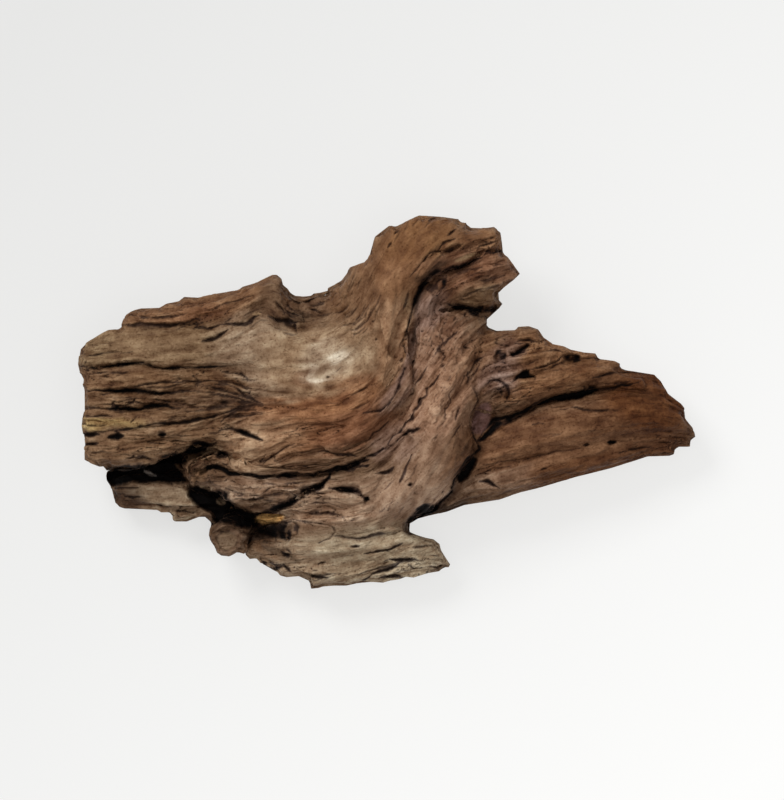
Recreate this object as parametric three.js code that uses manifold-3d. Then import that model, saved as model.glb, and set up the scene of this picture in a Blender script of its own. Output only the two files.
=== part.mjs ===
// A weathered mangrove root, lying on its back. Millimetres, +Z up.
// X runs along the two long arms, Y towards the crown, and Z away from the ground it lies on.
import * as THREE from 'three';
import { mergeVertices } from 'three/addons/utils/BufferGeometryUtils.js';
import Module from 'manifold-3d';

const wasm = await Module();
wasm.setup();

// Driving dimensions
const GROUND = 0;          // height of the ground the root lies on
const FORK_GAP = 0.3;      // width of the cut at each fork
const ABOVE = 140;         // a height clear of the tallest ridge
const BELOW = -40;         // a depth clear of the ground
const SQUARENESS = 3.6;    // how square the edge of a limb is: 2 is round
const RIDGE = 1.3;         // height of the long ridges on the limbs
const TINY = 1e-4;         // points closer than this are one point
const WELD = 0.03;         // corners closer than this in a finished limb are drawn together
const CRACK_SIDES = 5;     // points around a crack's section
const STUB_RADIUS = 10.5;  // the broken rootlet
const STUB_TOP = 50;
const STUB_DISH = 3;       // depth of the dished end of the rootlet

// Turns a closed geometry into a solid.
function toSolid(geometry) {
  geometry.deleteAttribute('normal');
  geometry.deleteAttribute('uv');
  const merged = mergeVertices(geometry, TINY);
  return new wasm.Manifold(new wasm.Mesh({
    numProp: 3,
    vertProperties: new Float32Array(merged.attributes.position.array),
    triVerts: new Uint32Array(merged.index.array),
  }));
}

// Sorts numbered things into groups that join(one, other) has brought together.
function grouping(count) {
  const leader = new Int32Array(count).map((_, i) => i);
  const find = (i) => {
    while (leader[i] !== i) i = leader[i] = leader[leader[i]];
    return i;
  };
  const join = (one, other) => { leader[find(one)] = find(other); };
  return { find, join };
}

// Draws together the corners of a triangle mesh that are closer than WELD, and drops the triangles
// that vanish. Two triangles that then lie face to face vanish together.
function weld(points, triangles) {
  const corners = grouping(points.length / 3);
  const at = (i) => new THREE.Vector3().fromArray(points, 3 * i);
  for (const [a, b, c] of triangles) {
    for (const [one, other] of [[a, b], [b, c], [c, a]]) {
      if (at(one).distanceTo(at(other)) < WELD) corners.join(one, other);
    }
  }
  const kept = new Map();
  for (const triangle of triangles) {
    const moved = triangle.map(corners.find);
    const key = [...moved].sort((one, other) => one - other).join();
    if (new Set(moved).size < 3) continue;
    if (kept.has(key)) kept.delete(key);
    else kept.set(key, moved);
  }
  return [...kept.values()];
}

// Turns a solid back into a geometry, without the splinters that a cut leaves loose.
function toGeometry(solid) {
  const { vertProperties, triVerts } = solid.getMesh();
  const all = [];
  for (let i = 0; i < triVerts.length; i += 3) all.push([...triVerts.subarray(i, i + 3)]);
  const triangles = weld(vertProperties, all);
  const bodies = grouping(vertProperties.length / 3);
  for (const [a, b, c] of triangles) {
    bodies.join(a, b);
    bodies.join(b, c);
  }
  const sizes = new Map();
  for (const [a] of triangles) sizes.set(bodies.find(a), (sizes.get(bodies.find(a)) ?? 0) + 1);
  const main = [...sizes].sort((one, other) => other[1] - one[1])[0][0];
  const geometry = new THREE.BufferGeometry();
  geometry.setAttribute('position', new THREE.BufferAttribute(vertProperties, 3));
  geometry.setIndex(triangles.filter(([a]) => bodies.find(a) === main).flat());
  geometry.computeVertexNormals();
  return geometry;
}

// A smooth line through hand-set values, read at a share t of its length.
function track(values) {
  const curve = new THREE.CatmullRomCurve3(
    values.map((value, i) => new THREE.Vector3(i, value, 0)), false, 'catmullrom', 0.5);
  return (t) => curve.getPoint(t).y;
}

// A row of heights across a limb, from its first edge to its second.
function profile(edgeA, heights, edgeB, u) {
  const row = [heights[0], ...heights, heights[heights.length - 1]];
  const place = u * (row.length - 1);
  const i = Math.min(row.length - 2, Math.floor(place));
  const s = place - i;
  const body = row[i] + (row[i + 1] - row[i]) * s * s * (3 - 2 * s);
  const edge = edgeA + (edgeB - edgeA) * u;
  const round = Math.pow(1 - Math.pow(Math.abs(2 * u - 1), SQUARENESS), 1 / SQUARENESS);
  return edge + (body - edge) * round;
}

// The long ridges along a limb, which wander, swell and fade. They differ with the limb's number.
function ridges(number, step, t) {
  const swell = 0.6 + 0.4 * Math.sin(3 * number + 2.1 * step + 5 * t);
  return RIDGE * swell * Math.sin(number + 2.4 * step + 2.2 * Math.sin(step + 1.5 * t));
}

// Which point of a section a corner of a cylinder stands for, or -1 for the middle of an end.
function stepAround(x, z, count) {
  if (Math.hypot(x, z) < 0.5) return -1;
  const turn = (Math.atan2(x, z) / (2 * Math.PI) + 1) % 1;
  return Math.round(turn * count) % count;
}

// Moves each corner of a cylinder to where shape(t, step) puts it, and makes the result a solid.
function loft(around, rings, shape) {
  const geometry = new THREE.CylinderGeometry(1, 1, 1, around, rings, false);
  const position = geometry.attributes.position;
  for (let i = 0; i < position.count; i += 1) {
    const step = stepAround(position.getX(i), position.getZ(i), around);
    const point = shape(0.5 - position.getY(i), step);
    position.setXYZ(i, point.x, point.y, point.z);
  }
  const solid = toSolid(geometry);
  return solid.volume() < 0 ? toSolid(flipped(geometry)) : solid;
}

// A limb is lofted through stations. Each station is { a, b, top, low }: a and b are the limb's two
// edges as [x, y, z], top and low are heights across the limb from a to b, over it and under it.
function limb(stations, { rings, over, under, number }) {
  const rail = (key, axis) => track(stations.map((station) => station[key][axis]));
  const row = (key) => stations[0][key].map((_, k) => track(stations.map((station) => station[key][k])));
  const a = [0, 1, 2].map((axis) => rail('a', axis));
  const b = [0, 1, 2].map((axis) => rail('b', axis));
  const top = row('top');
  const low = row('low');
  const around = over + under;
  const place = (t, step) => {
    const turn = step <= over ? step / over : 1 - (step - over) / under;
    const u = (1 - Math.cos(Math.PI * turn)) / 2;
    const [pa, pb] = [a.map((f) => f(t)), b.map((f) => f(t))];
    const heights = (step <= over ? top : low).map((f) => f(t));
    return new THREE.Vector3(
      THREE.MathUtils.lerp(pa[0], pb[0], u),
      THREE.MathUtils.lerp(pa[1], pb[1], u),
      profile(pa[2], heights, pb[2], u) + Math.sin(Math.PI * u) * ridges(number, step, t));
  };
  const middle = (t) => {
    const centre = new THREE.Vector3();
    for (let step = 0; step < around; step += 1) centre.add(place(t, step));
    return centre.divideScalar(around);
  };
  return loft(around, rings, (t, step) => (step < 0 ? middle(t) : place(t, step)));
}

// The same closed geometry with its faces turned over.
function flipped(geometry) {
  const index = geometry.index.array;
  for (let i = 0; i < index.length; i += 3) [index[i], index[i + 1]] = [index[i + 1], index[i]];
  return geometry;
}

// An upright block over a plan outline.
function block(outline, low = BELOW, high = ABOVE) {
  const shape = new THREE.Shape(outline.map(([x, y]) => new THREE.Vector2(x, y)));
  const geometry = new THREE.ExtrudeGeometry(shape, { depth: high - low, bevelEnabled: false });
  geometry.translate(0, 0, low);
  return toSolid(geometry);
}

// A crack is a wedge along a path of [x, y, surface height, half width, depth]. A crack in the
// underside has a negative depth.
function crack(path) {
  const away = path[0][4] > 0 ? ABOVE : BELOW;
  const [x, y, z, half, depth] = [0, 1, 2, 3, 4].map((k) => track(path.map((point) => point[k])));
  const across = [0, 1, 1, -1, -1];
  return loft(CRACK_SIDES, path.length, (t, step) => {
    const ahead = new THREE.Vector2(
      x(Math.min(1, t + 0.02)) - x(Math.max(0, t - 0.02)),
      y(Math.min(1, t + 0.02)) - y(Math.max(0, t - 0.02))).normalize();
    const side = step < 0 ? 0 : across[step] * half(t);
    const height = step < 0 ? z(t) : [z(t) - depth(t), z(t), away, away, z(t)][step];
    return new THREE.Vector3(x(t) - ahead.y * side, y(t) + ahead.x * side, height);
  });
}

// A thin upright wall along a fork line, which parts two limbs.
function forkCut(line) {
  const half = FORK_GAP / 2;
  const sides = line.map(([x, y], i) => {
    const [px, py] = line[Math.max(0, i - 1)];
    const [nx, ny] = line[Math.min(line.length - 1, i + 1)];
    const length = Math.hypot(nx - px, ny - py);
    return [x, y, -(ny - py) / length * half, (nx - px) / length * half];
  });
  const left = sides.map(([x, y, dx, dy]) => [x + dx, y + dy]);
  const right = sides.map(([x, y, dx, dy]) => [x - dx, y - dy]).reverse();
  return block([...left, ...right]);
}

const st = (a, b, top, low) => ({ a, b, top, low });

// The left arm: long strips from its broken end to the heart.
const leftArm = limb([
  st([-197, -36, 58], [-201, 28, 60], [70, 75, 78, 81, 78], [44, 40, 46]),
  st([-192, -39.5, 52], [-194, 40, 58], [76, 80, 82, 85, 82], [36, 32, 38]),
  st([-177, -41, 50], [-174, 49, 58], [78, 80, 84, 87, 83], [32, 27, 34]),
  st([-160, -40, 50], [-160, 61, 62], [78, 81, 84, 88, 84], [30, 25, 34]),
  st([-143, -34, 50], [-143, 64.5, 60], [79, 82, 83, 88, 85], [30, 24, 34]),
  st([-126, -27, 50], [-124, 68.5, 58], [80, 82, 82, 88, 86], [30, 23, 34]),
  st([-110, -30, 46], [-105, 72, 56], [82, 82, 79, 88, 86], [28, 21, 32]),
  st([-96, -38, 40], [-90, 77, 52], [83, 84, 79, 87, 83], [24, 17, 30]),
  st([-80, -42, 36], [-74, 83, 46], [82, 88, 80, 87, 74], [20, 13, 26]),
  st([-62, -42, 34], [-60, 71, 42], [80, 88, 80, 82, 66], [16, 9, 20]),
  st([-45, -38, 34], [-44, 66, 40], [76, 84, 78, 78, 62], [16, 9, 20]),
], { rings: 15, over: 14, under: 4, number: 1 });

// The bowl of the heart, with the rim that sweeps under it and the neck ridge to its right.
const bowl = limb([
  st([-88, -41, 40], [-76, 80, 45], [78, 84, 80, 84, 70], [20, 12, 24]),
  st([-62, -44, 36], [-59, 70, 40], [82, 92, 82, 79, 62], [16, 7, 18]),
  st([-38, -43, 34], [-38, 72, 38], [84, 94, 82, 81, 66], [14, 4, 14]),
  st([-18, -37, 34], [-22, 87, 40], [86, 93, 84, 88, 84], [12, 2, 12]),
  st([0, -28, 34], [-10, 96, 42], [90, 94, 96, 102, 98], [10, -2, 10]),
  st([16, -20, 36], [10, 104, 42], [88, 92, 94, 98, 96], [10, -2, 14]),
], { rings: 10, over: 12, under: 4, number: 2 });

// The neck ridge, from the crown's top down into the sweep under the bowl.
const neck = limb([
  st([10, 118.5, 78], [44, 119, 76], [86, 91, 88], [62, 58, 60]),
  st([2, 113.5, 74], [52, 112, 72], [95, 100, 94], [54, 50, 54]),
  st([-8.5, 107, 66], [60, 104, 68], [98, 105, 95], [46, 40, 46]),
  st([-12, 96, 58], [58, 94, 62], [98, 107, 99], [38, 30, 38]),
  st([-23, 88, 50], [39, 86, 54], [92, 107, 103], [30, 20, 30]),
  st([-29, 76, 46], [22, 75, 52], [86, 107, 104], [24, 14, 26]),
  st([-30, 62, 44], [16, 60, 50], [82, 106, 103], [20, 10, 20]),
  st([-20, 46, 44], [13, 44, 50], [86, 106, 101], [20, 10, 20]),
  st([-14, 28, 44], [12, 26, 48], [86, 104, 97], [20, 10, 20]),
  st([-18, 10, 44], [8, 6, 46], [86, 99, 92], [20, 10, 20]),
  st([-30, -10, 44], [-2, -18, 44], [84, 93, 86], [20, 12, 20]),
  st([-50, -22, 44], [-26, -36, 44], [80, 88, 80], [24, 16, 24]),
], { rings: 15, over: 8, under: 4, number: 3 });

// The flap of the crown, leaning out to the right under the neck's cleft.
const flap = limb([
  st([14, 44, 50], [13, 66, 56], [88, 91, 90], [30, 24, 30]),
  st([30, 56, 48], [24, 80, 56], [89, 92, 91], [28, 22, 30]),
  st([45, 63, 50], [42, 87, 56], [88, 92, 90], [34, 28, 34]),
  st([60, 63, 52], [58, 95, 58], [84, 90, 90], [42, 36, 42]),
  st([71, 69, 54], [70, 112, 60], [80, 86, 88], [46, 42, 48]),
  st([79, 77, 56], [77, 96, 60], [76, 80, 78], [50, 48, 52]),
  st([85.5, 81.5, 60], [85.5, 85, 60], [68, 69, 68], [54, 53, 54]),
], { rings: 8, over: 8, under: 4, number: 4 });

// The top of the crown to the right of the neck, over the flap.
const crownShoulder = limb([
  st([20, 84, 60], [20, 121.5, 66], [98, 102, 92], [50, 46, 54]),
  st([36, 90, 60], [35, 120, 66], [100, 103, 92], [50, 46, 54]),
  st([48, 95, 62], [46, 118.5, 66], [96, 99, 90], [52, 48, 54]),
  st([58, 98, 62], [56, 113, 66], [92, 95, 88], [54, 50, 56]),
  st([68, 100, 62], [66, 114, 66], [88, 91, 85], [54, 50, 56]),
  st([74, 100, 62], [73.5, 109, 64], [82, 84, 80], [56, 54, 56]),
], { rings: 6, over: 7, under: 3, number: 5 });

// The darker tooth under the flap.
const tooth = limb([
  st([30, 44, 44], [34, 60, 48], [76, 80, 78], [30, 24, 30]),
  st([50, 49, 46], [50, 64, 50], [72, 76, 74], [32, 26, 32]),
  st([64, 55, 48], [64, 70, 52], [66, 70, 68], [36, 30, 36]),
  st([70, 59, 50], [71, 69, 52], [62, 64, 62], [40, 36, 40]),
  st([74.5, 63, 50], [74.5, 65.5, 52], [56, 57, 56], [46, 44, 46]),
], { rings: 5, over: 6, under: 4, number: 6 });

// The curtain, a heavy fold that falls from the crown's shoulder to the foot.
const curtain = limb([
  st([16, 60, 48], [60, 56, 54], [84, 86, 84, 78], [26, 20, 26]),
  st([11, 44, 46], [66, 48, 52], [88, 92, 92, 84], [20, 10, 20]),
  st([9, 26, 44], [62, 28, 50], [84, 92, 96, 88], [14, 0, 14]),
  st([3, 6, 44], [59, 6, 50], [84, 92, 99, 93], [12, -4, 12]),
  st([-5, -12, 42], [53, -14, 50], [82, 90, 98, 95], [12, -4, 12]),
  st([-12, -30, 40], [58, -30, 48], [80, 86, 94, 90], [12, -2, 12]),
  st([-18, -44, 38], [48, -44, 46], [76, 84, 90, 87], [12, 0, 12]),
  st([-22, -58, 34], [42, -56, 44], [70, 78, 84, 80], [12, 0, 12]),
  st([-22, -70, 30], [27, -68, 38], [62, 70, 74, 68], [12, 2, 12]),
  st([-20, -83, 26], [12, -81, 32], [52, 58, 58, 52], [12, 4, 12]),
], { rings: 12, over: 9, under: 4, number: 7 });

// The upper slab of the right arm, over the cleft.
const upperSlab = limb([
  st([38, 4, 44], [44, 50, 50], [78, 82, 80], [20, 12, 24]),
  st([58, -6, 46], [64, 49, 52], [80, 84, 80], [22, 14, 26]),
  st([78, -9, 46], [80, 47.5, 54], [80, 85, 81], [24, 16, 30]),
  st([92, -3, 46], [93, 50, 56], [79, 84, 80], [26, 18, 34]),
  st([105, 2, 46], [103, 41.5, 54], [77, 81, 76], [26, 18, 34]),
  st([120, 6, 44], [118, 35, 52], [74, 76, 70], [26, 18, 34]),
  st([136, 9, 42], [135, 32, 48], [68, 70, 64], [26, 18, 32]),
  st([151, 9, 40], [150, 25, 46], [60, 63, 58], [26, 20, 30]),
  st([166, 6, 36], [165, 19.5, 42], [54, 57, 52], [26, 22, 28]),
], { rings: 10, over: 9, under: 4, number: 8 });

// The lower slab of the right arm, under the cleft and out to the tip.
const lowerSlab = limb([
  st([22, -72, 30], [34, -4, 40], [58, 64, 62], [12, -2, 12]),
  st([48, -66, 32], [56, 0, 42], [62, 69, 64], [10, -4, 12]),
  st([72, -62.5, 32], [77, 8, 44], [63, 70, 62], [8, -5, 12]),
  st([99, -55, 32], [98, 16, 44], [61, 70, 62], [8, -5, 12]),
  st([122, -48.5, 32], [120, 20, 42], [58, 68, 60], [8, -5, 12]),
  st([145, -42.5, 31], [142, 21, 42], [54, 65, 58], [10, -2, 14]),
  st([165, -36.5, 30], [163, 19.5, 40], [49, 60, 54], [14, 4, 20]),
  st([183, -34.5, 29], [179, 12, 37], [44, 54, 50], [18, 12, 24]),
  st([194, -29, 28], [190, 0, 34], [38, 46, 43], [20, 17, 24]),
  st([201, -23, 28], [199.5, -16, 30], [32, 35, 34], [24, 23, 25]),
], { rings: 14, over: 11, under: 6, number: 9 });

// The shelf of strips under the bowl.
const shelf = limb([
  st([-128, -53, 46], [-130, -32, 50], [62, 66, 70], [34, 30, 34]),
  st([-114, -55, 44], [-114, -30, 50], [64, 68, 74], [30, 24, 30]),
  st([-100, -64, 38], [-99, -44, 46], [64, 69, 74], [24, 16, 24]),
  st([-86, -71, 34], [-82, -47, 44], [62, 71, 76], [18, 10, 20]),
  st([-68, -72, 32], [-62, -45, 42], [64, 74, 78], [14, 4, 16]),
  st([-50, -75, 32], [-45, -46, 42], [66, 76, 80], [12, 2, 14]),
  st([-30, -79, 32], [-28, -41, 42], [66, 77, 80], [10, 0, 12]),
  st([-10, -81, 32], [-8, -34, 42], [64, 75, 80], [10, 0, 12]),
  st([8, -80, 30], [8, -28, 42], [58, 70, 78], [10, 2, 12]),
], { rings: 11, over: 9, under: 4, number: 10 });

// The mass of old wood that joins the limbs behind the hollows.
const base = limb([
  st([-136, -72, 14], [-134, -50, 14], [20, 22, 20], [4, -3, 4]),
  st([-112, -84, 14], [-112, -37, 20], [22, 26, 30], [3, -4, 4]),
  st([-92, -96, 14], [-90, -30, 24], [24, 30, 38], [2, -5, 4]),
  st([-66, -104, 14], [-62, -10, 28], [30, 40, 50], [2, -5, 4]),
  st([-36, -106, 16], [-34, 20, 30], [34, 46, 56], [2, -5, 2]),
  st([0, -92, 18], [2, 50, 32], [36, 50, 58], [2, -5, 0]),
  st([34, -60, 20], [30, 62, 34], [36, 48, 54], [2, -4, 0]),
  st([56, -40, 22], [54, 40, 34], [34, 42, 46], [6, 2, 10]),
], { rings: 8, over: 7, under: 6, number: 11 });

// The foot, from the hollow behind the rootlet to its tip at the right.
const foot = limb([
  st([-94, -98, 20], [-92, -82, 20], [28, 26, 22], [12, 8, 12]),
  st([-82, -104, 22], [-79, -76, 24], [38, 32, 26], [6, 0, 8]),
  st([-66, -113, 22], [-62, -68, 30], [44, 46, 50], [4, -4, 6]),
  st([-50, -121.5, 22], [-44, -62, 36], [46, 56, 64], [3, -5, 6]),
  st([-30, -119.5, 22], [-25, -60, 38], [46, 57, 66], [3, -5, 6]),
  st([-8, -117, 22], [-6, -62, 38], [45, 55, 64], [3, -5, 6]),
  st([8, -114.5, 22], [10, -76, 30], [42, 50, 56], [4, -3, 6]),
  st([24, -111, 20], [24, -87, 26], [38, 44, 46], [8, 4, 9]),
  st([35, -108, 20], [33, -91, 24], [33, 38, 38], [12, 9, 12]),
  st([40.5, -106.5, 20], [38, -100, 22], [26, 28, 27], [16, 15, 16]),
], { rings: 12, over: 9, under: 6, number: 12 });

// The spur, lower and darker than the arm above it.
const spur = limb([
  st([-179.5, -62, 18], [-178, -36, 22], [26, 26, 18, 28], [12, 10, 16]),
  st([-172, -68.5, 16], [-171, -24, 26], [34, 34, 16, 34], [5, 0, 12]),
  st([-159, -69, 14], [-158, -16, 28], [40, 38, 16, 38], [3, -4, 10]),
  st([-146, -71, 14], [-145, -12, 28], [42, 40, 16, 40], [3, -5, 8]),
  st([-133, -77, 14], [-131, -10, 28], [42, 38, 18, 42], [3, -5, 8]),
  st([-119, -74, 14], [-117, -10, 28], [38, 26, 24, 42], [3, -4, 8]),
  st([-106, -80, 14], [-102, -14, 28], [32, 22, 24, 42], [3, -3, 8]),
], { rings: 8, over: 9, under: 4, number: 13 });

// The broken rootlet, a round stump with a dished end.
function makeStub() {
  const outline = new THREE.CatmullRomCurve3([
    new THREE.Vector3(12.5, 4, 0),
    new THREE.Vector3(11.8, 18, 0),
    new THREE.Vector3(STUB_RADIUS + 0.6, 34, 0),
    new THREE.Vector3(STUB_RADIUS + 0.4, STUB_TOP - 4, 0),
    new THREE.Vector3(STUB_RADIUS - 1.5, STUB_TOP, 0),
  ]).getPoints(5).map((p) => new THREE.Vector2(p.x, p.y));
  const end = [
    new THREE.Vector2(STUB_RADIUS - 5, STUB_TOP - STUB_DISH),
    new THREE.Vector2(STUB_RADIUS - 7, STUB_TOP - STUB_DISH * 0.5),
    new THREE.Vector2(0, STUB_TOP - STUB_DISH * 0.5),
  ];
  const geometry = new THREE.LatheGeometry([new THREE.Vector2(0, 4), ...outline, ...end], 15);
  geometry.rotateX(Math.PI / 2);
  const position = geometry.attributes.position;
  for (let i = 0; i < position.count; i += 1) {
    const [x, y, z] = [position.getX(i), position.getY(i), position.getZ(i)];
    const turn = Math.atan2(y, x);
    const lump = 1 + 0.06 * Math.sin(turn * 2 + 0.6) + 0.03 * Math.sin(turn * 5);
    const lean = (z - 4) / (STUB_TOP - 4);
    position.setXYZ(i, x * lump * 0.95 - 99 - 5 * lean, y * lump - 83 - 5.5 * lean, z);
  }
  const solid = toSolid(geometry);
  return solid.volume() < 0 ? toSolid(flipped(geometry)) : solid;
}

// The big cracks and clefts.
const cracks = [
  // Along the left arm
  [[-199, 22, 82, 0.6, 6], [-185, 23, 83, 1.4, 9], [-165, 26, 86, 1.8, 11], [-145, 22.5, 85, 1.6, 10],
    [-127, 23, 84, 1.3, 9], [-112, 23.5, 84, 0.4, 3]],
  [[-199, 8, 80, 0.5, 5], [-180, 8, 83, 1.3, 8], [-160, 8, 84, 1.3, 8], [-142, 6.5, 83, 1.3, 8],
    [-124, 8, 82, 0.4, 3]],
  [[-181, -3.5, 81, 0.5, 4], [-170, -4, 82, 2, 8], [-156, -3.5, 83, 1.8, 8], [-145, -2, 83, 0.4, 3]],
  [[-177, -19, 80, 0.5, 5], [-160, -15.5, 81, 1.8, 9], [-140, -13, 81, 1.5, 9],
    [-122, -10.5, 81, 1.4, 8], [-108, -8.5, 81, 0.4, 3]],
  [[-172, 50, 80, 0.6, 6], [-160, 51, 84, 1.4, 7], [-140, 50, 86, 1.6, 7], [-122, 54.5, 86, 0.4, 4]],
  [[-108, -18, 82, 0.4, 4], [-98, -17.5, 83, 1.8, 8], [-89, -21, 84, 1.6, 8], [-80, -24, 86, 0.4, 3]],
  // The crevices under the bowl
  [[-112, -40, 78, 1, 14], [-98, -45.5, 76, 2, 24], [-82, -48, 78, 2.2, 26], [-66, -46, 80, 2.2, 26],
    [-50, -46.5, 82, 2.4, 26], [-36, -43, 84, 3, 26], [-20, -38, 84, 3, 24], [-5, -31, 84, 2, 18],
    [8, -23, 84, 1.6, 12], [19, -16, 86, 0.6, 5]],
  [[-37, -44, 80, 1.4, 14], [-41, -52, 78, 2.4, 20], [-52, -57, 76, 2.4, 20], [-66, -66, 72, 2, 18],
    [-78, -71, 68, 1.8, 18], [-88, -73, 62, 1.4, 14]],
  [[-38, -54, 78, 0.8, 8], [-28, -57, 77, 2, 13], [-17, -59, 76, 1.8, 12], [-12, -63, 74, 0.6, 5]],
  [[-101, -59.5, 70, 0.5, 4], [-90, -60, 71, 1.2, 8], [-79, -60.5, 72, 0.4, 3]],
  // The crown
  [[13, 52, 98, 0.8, 8], [18.5, 67, 98, 2, 16], [22, 78, 98, 2.4, 20], [32, 84.5, 98, 2.4, 20],
    [46, 88.5, 94, 2, 18], [62, 96, 92, 1.6, 14], [76, 99, 86, 1.6, 10]],
  [[15, 82, 104, 0.4, 2], [22, 90, 103, 1, 5], [28, 96, 102, 1.2, 6], [35, 97.5, 102, 1.8, 9],
    [47, 102, 98, 1.6, 8], [52, 103, 96, 0.4, 2]],
  [[38, 62.5, 86, 0.6, 6], [48, 62.5, 84, 2, 14], [58, 60.5, 80, 3, 18], [68, 60, 74, 3, 18]],
  // The curtain and the right arm
  [[33, 17, 95, 0.5, 4], [24, 7.5, 93, 1.6, 9], [19, -3, 91, 1.3, 8], [13, -13, 88, 1.3, 8],
    [5, -20.5, 85, 0.5, 4]],
  [[54, -19, 82, 2, 16], [66, -18, 78, 3, 20], [78, -10, 78, 2.6, 22], [95, -2, 78, 2.2, 22],
    [112, 5, 76, 2.6, 22], [127, 7.3, 72, 3.2, 22], [138, 9, 68, 2.4, 14], [150, 10.5, 64, 1, 6],
    [170, 13, 57, 0.5, 3]],
  [[80, 12.5, 83, 0.5, 5], [86, 17.5, 83, 2, 10], [96, 17.5, 82, 1.8, 9], [112, 26.5, 78, 1.2, 6],
    [126, 28.5, 72, 0.5, 3]],
  [[78, 30, 84, 0.6, 5], [85, 34, 83, 1.8, 9], [93, 39, 80, 0.6, 4]],
  // The foot
  [[-32, -85.5, 62, 0.5, 4], [-15, -87, 60, 1.2, 7], [8, -84, 54, 1.2, 7], [16, -81, 50, 0.6, 4]],
  [[-16, -98, 58, 0.4, 3], [-4, -96, 57, 1.4, 7], [12, -91, 52, 0.5, 3]],
  // The underside
  [[-190, 12, 36, 0.6, -4], [-165, 10, 28, 2, -8], [-135, 14, 25, 2, -8], [-105, 8, 22, 1.6, -7],
    [-80, 10, 16, 0.5, -4]],
  [[-180, -18, 36, 0.5, -4], [-150, -20, 30, 1.6, -7], [-120, -16, 26, 0.5, -4]],
  [[-60, -50, 6, 0.5, -4], [-30, -38, 2, 2, -9], [0, -18, 0, 2.4, -10], [24, 4, 0, 1.8, -8],
    [40, 12, 2, 0.5, -4]],
  [[70, -30, 0, 0.5, -4], [100, -22, 0, 1.8, -8], [135, -14, 0, 1.8, -8], [168, -10, 8, 0.5, -4]],
  [[0, 100, 34, 0.5, -4], [6, 84, 26, 1.8, -9], [2, 66, 14, 0.6, -4]],
].map((path) => crack(path));

const limbs = [leftArm, bowl, neck, flap, crownShoulder, tooth, curtain, upperSlab, lowerSlab, shelf,
  base, foot, spur, makeStub()];
const grown = limbs.reduce((whole, part) => whole.add(part));
const cracked = cracks.reduce((whole, part) => whole.subtract(part), grown);
const ground = block([[-260, -180], [260, -180], [260, 180], [-260, 180]], BELOW, GROUND);
const root = cracked.subtract(ground);

// The forks. Each limb lies inside its own plan outline, and the first lines of each outline are the
// fork itself.
const forks = {
  left_arm: {
    fork: [[-86, 100], [-88, 20], [-92, -34], [-114, -34], [-134, -42.2], [-220, -42.2]],
    rest: [[-220, 100]],
  },
  left_spur: {
    fork: [[-220, -42.2], [-134, -42.2], [-131, -56], [-117, -76], [-117, -110]],
    rest: [[-220, -110]],
  },
  root_stub: {
    fork: [[-117, -110], [-117, -76], [-106, -72], [-92, -78], [-90, -92], [-93, -110]],
    rest: [],
  },
  foot: {
    fork: [[-93, -110], [-90, -92], [-84, -79], [-60, -77], [-36, -79], [8, -80], [30, -82]],
    rest: [[60, -82], [60, -140], [-93, -140]],
  },
  crown_arm: {
    fork: [[-40, 100], [-26, 80], [-6, 72], [14, 54], [64, 53.5], [100, 54]],
    rest: [[110, 140], [-40, 140]],
  },
  right_arm: {
    fork: [[66, 60], [62, 44], [57, 20], [53, -14], [54, -32], [46, -46], [41, -58], [30, -67], [24, -90]],
    rest: [[220, -90], [220, 60]],
  },
};

const WOOD = {
  heart: [0x96785c, 0.72],
  left_arm: [0x7d6652, 0.85],
  left_spur: [0x54453a, 0.9],
  crown_arm: [0x7d5c41, 0.82],
  right_arm: [0x73553e, 0.84],
  foot: [0x96826e, 0.85],
  root_stub: [0x6e5a46, 0.88],
};

const parted = Object.values(forks).reduce((whole, { fork }) => whole.subtract(forkCut(fork)), root);
const pieces = {};
let heart = parted;
for (const [name, { fork, rest }] of Object.entries(forks)) {
  const region = block([...fork, ...rest]);
  pieces[name] = parted.intersect(region);
  heart = heart.subtract(region);
}
pieces.heart = heart;

const model = new THREE.Group();
for (const [name, [color, roughness]] of Object.entries(WOOD)) {
  const material = new THREE.MeshStandardMaterial({ color, roughness, metalness: 0 });
  const mesh = new THREE.Mesh(toGeometry(pieces[name]), material);
  mesh.name = name;
  model.add(mesh);
}

export default model;
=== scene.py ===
import math

import bmesh
import bpy
import numpy as np
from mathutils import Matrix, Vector
from mathutils.geometry import delaunay_2d_cdt


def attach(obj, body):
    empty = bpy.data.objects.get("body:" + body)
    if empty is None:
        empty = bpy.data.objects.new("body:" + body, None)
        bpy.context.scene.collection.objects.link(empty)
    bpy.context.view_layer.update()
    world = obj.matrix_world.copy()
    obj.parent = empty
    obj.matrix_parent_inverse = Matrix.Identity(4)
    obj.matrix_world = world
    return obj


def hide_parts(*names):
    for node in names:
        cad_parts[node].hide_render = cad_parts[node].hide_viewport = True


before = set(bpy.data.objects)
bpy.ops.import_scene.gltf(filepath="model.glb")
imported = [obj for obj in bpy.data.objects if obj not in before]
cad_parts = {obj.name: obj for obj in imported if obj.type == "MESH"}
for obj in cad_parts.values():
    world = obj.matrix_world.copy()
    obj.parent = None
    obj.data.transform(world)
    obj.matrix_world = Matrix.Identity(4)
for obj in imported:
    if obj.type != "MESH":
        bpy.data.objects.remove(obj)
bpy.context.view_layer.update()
mm = 0.001

# The wood as one skin, in millimetres.
skin = {
    "cell": 0.82,  # size of the skin's faces
    "kerf": 0.4,  # how far the solids grow, so that the cuts at the forks close
    "smoothing": 9,  # rounds that take the flat facets away
    "fieldCell": 2.0,  # spacing of the grain's direction field
    "drawCell": 0.5,  # spacing of the grid that cracks are drawn on
    "xRange": (-210.0, 210.0),
    "yRange": (-130.0, 130.0),
    "layers": 60.0,  # grain layers from the underside to the top, in millimetres of noise
}


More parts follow.
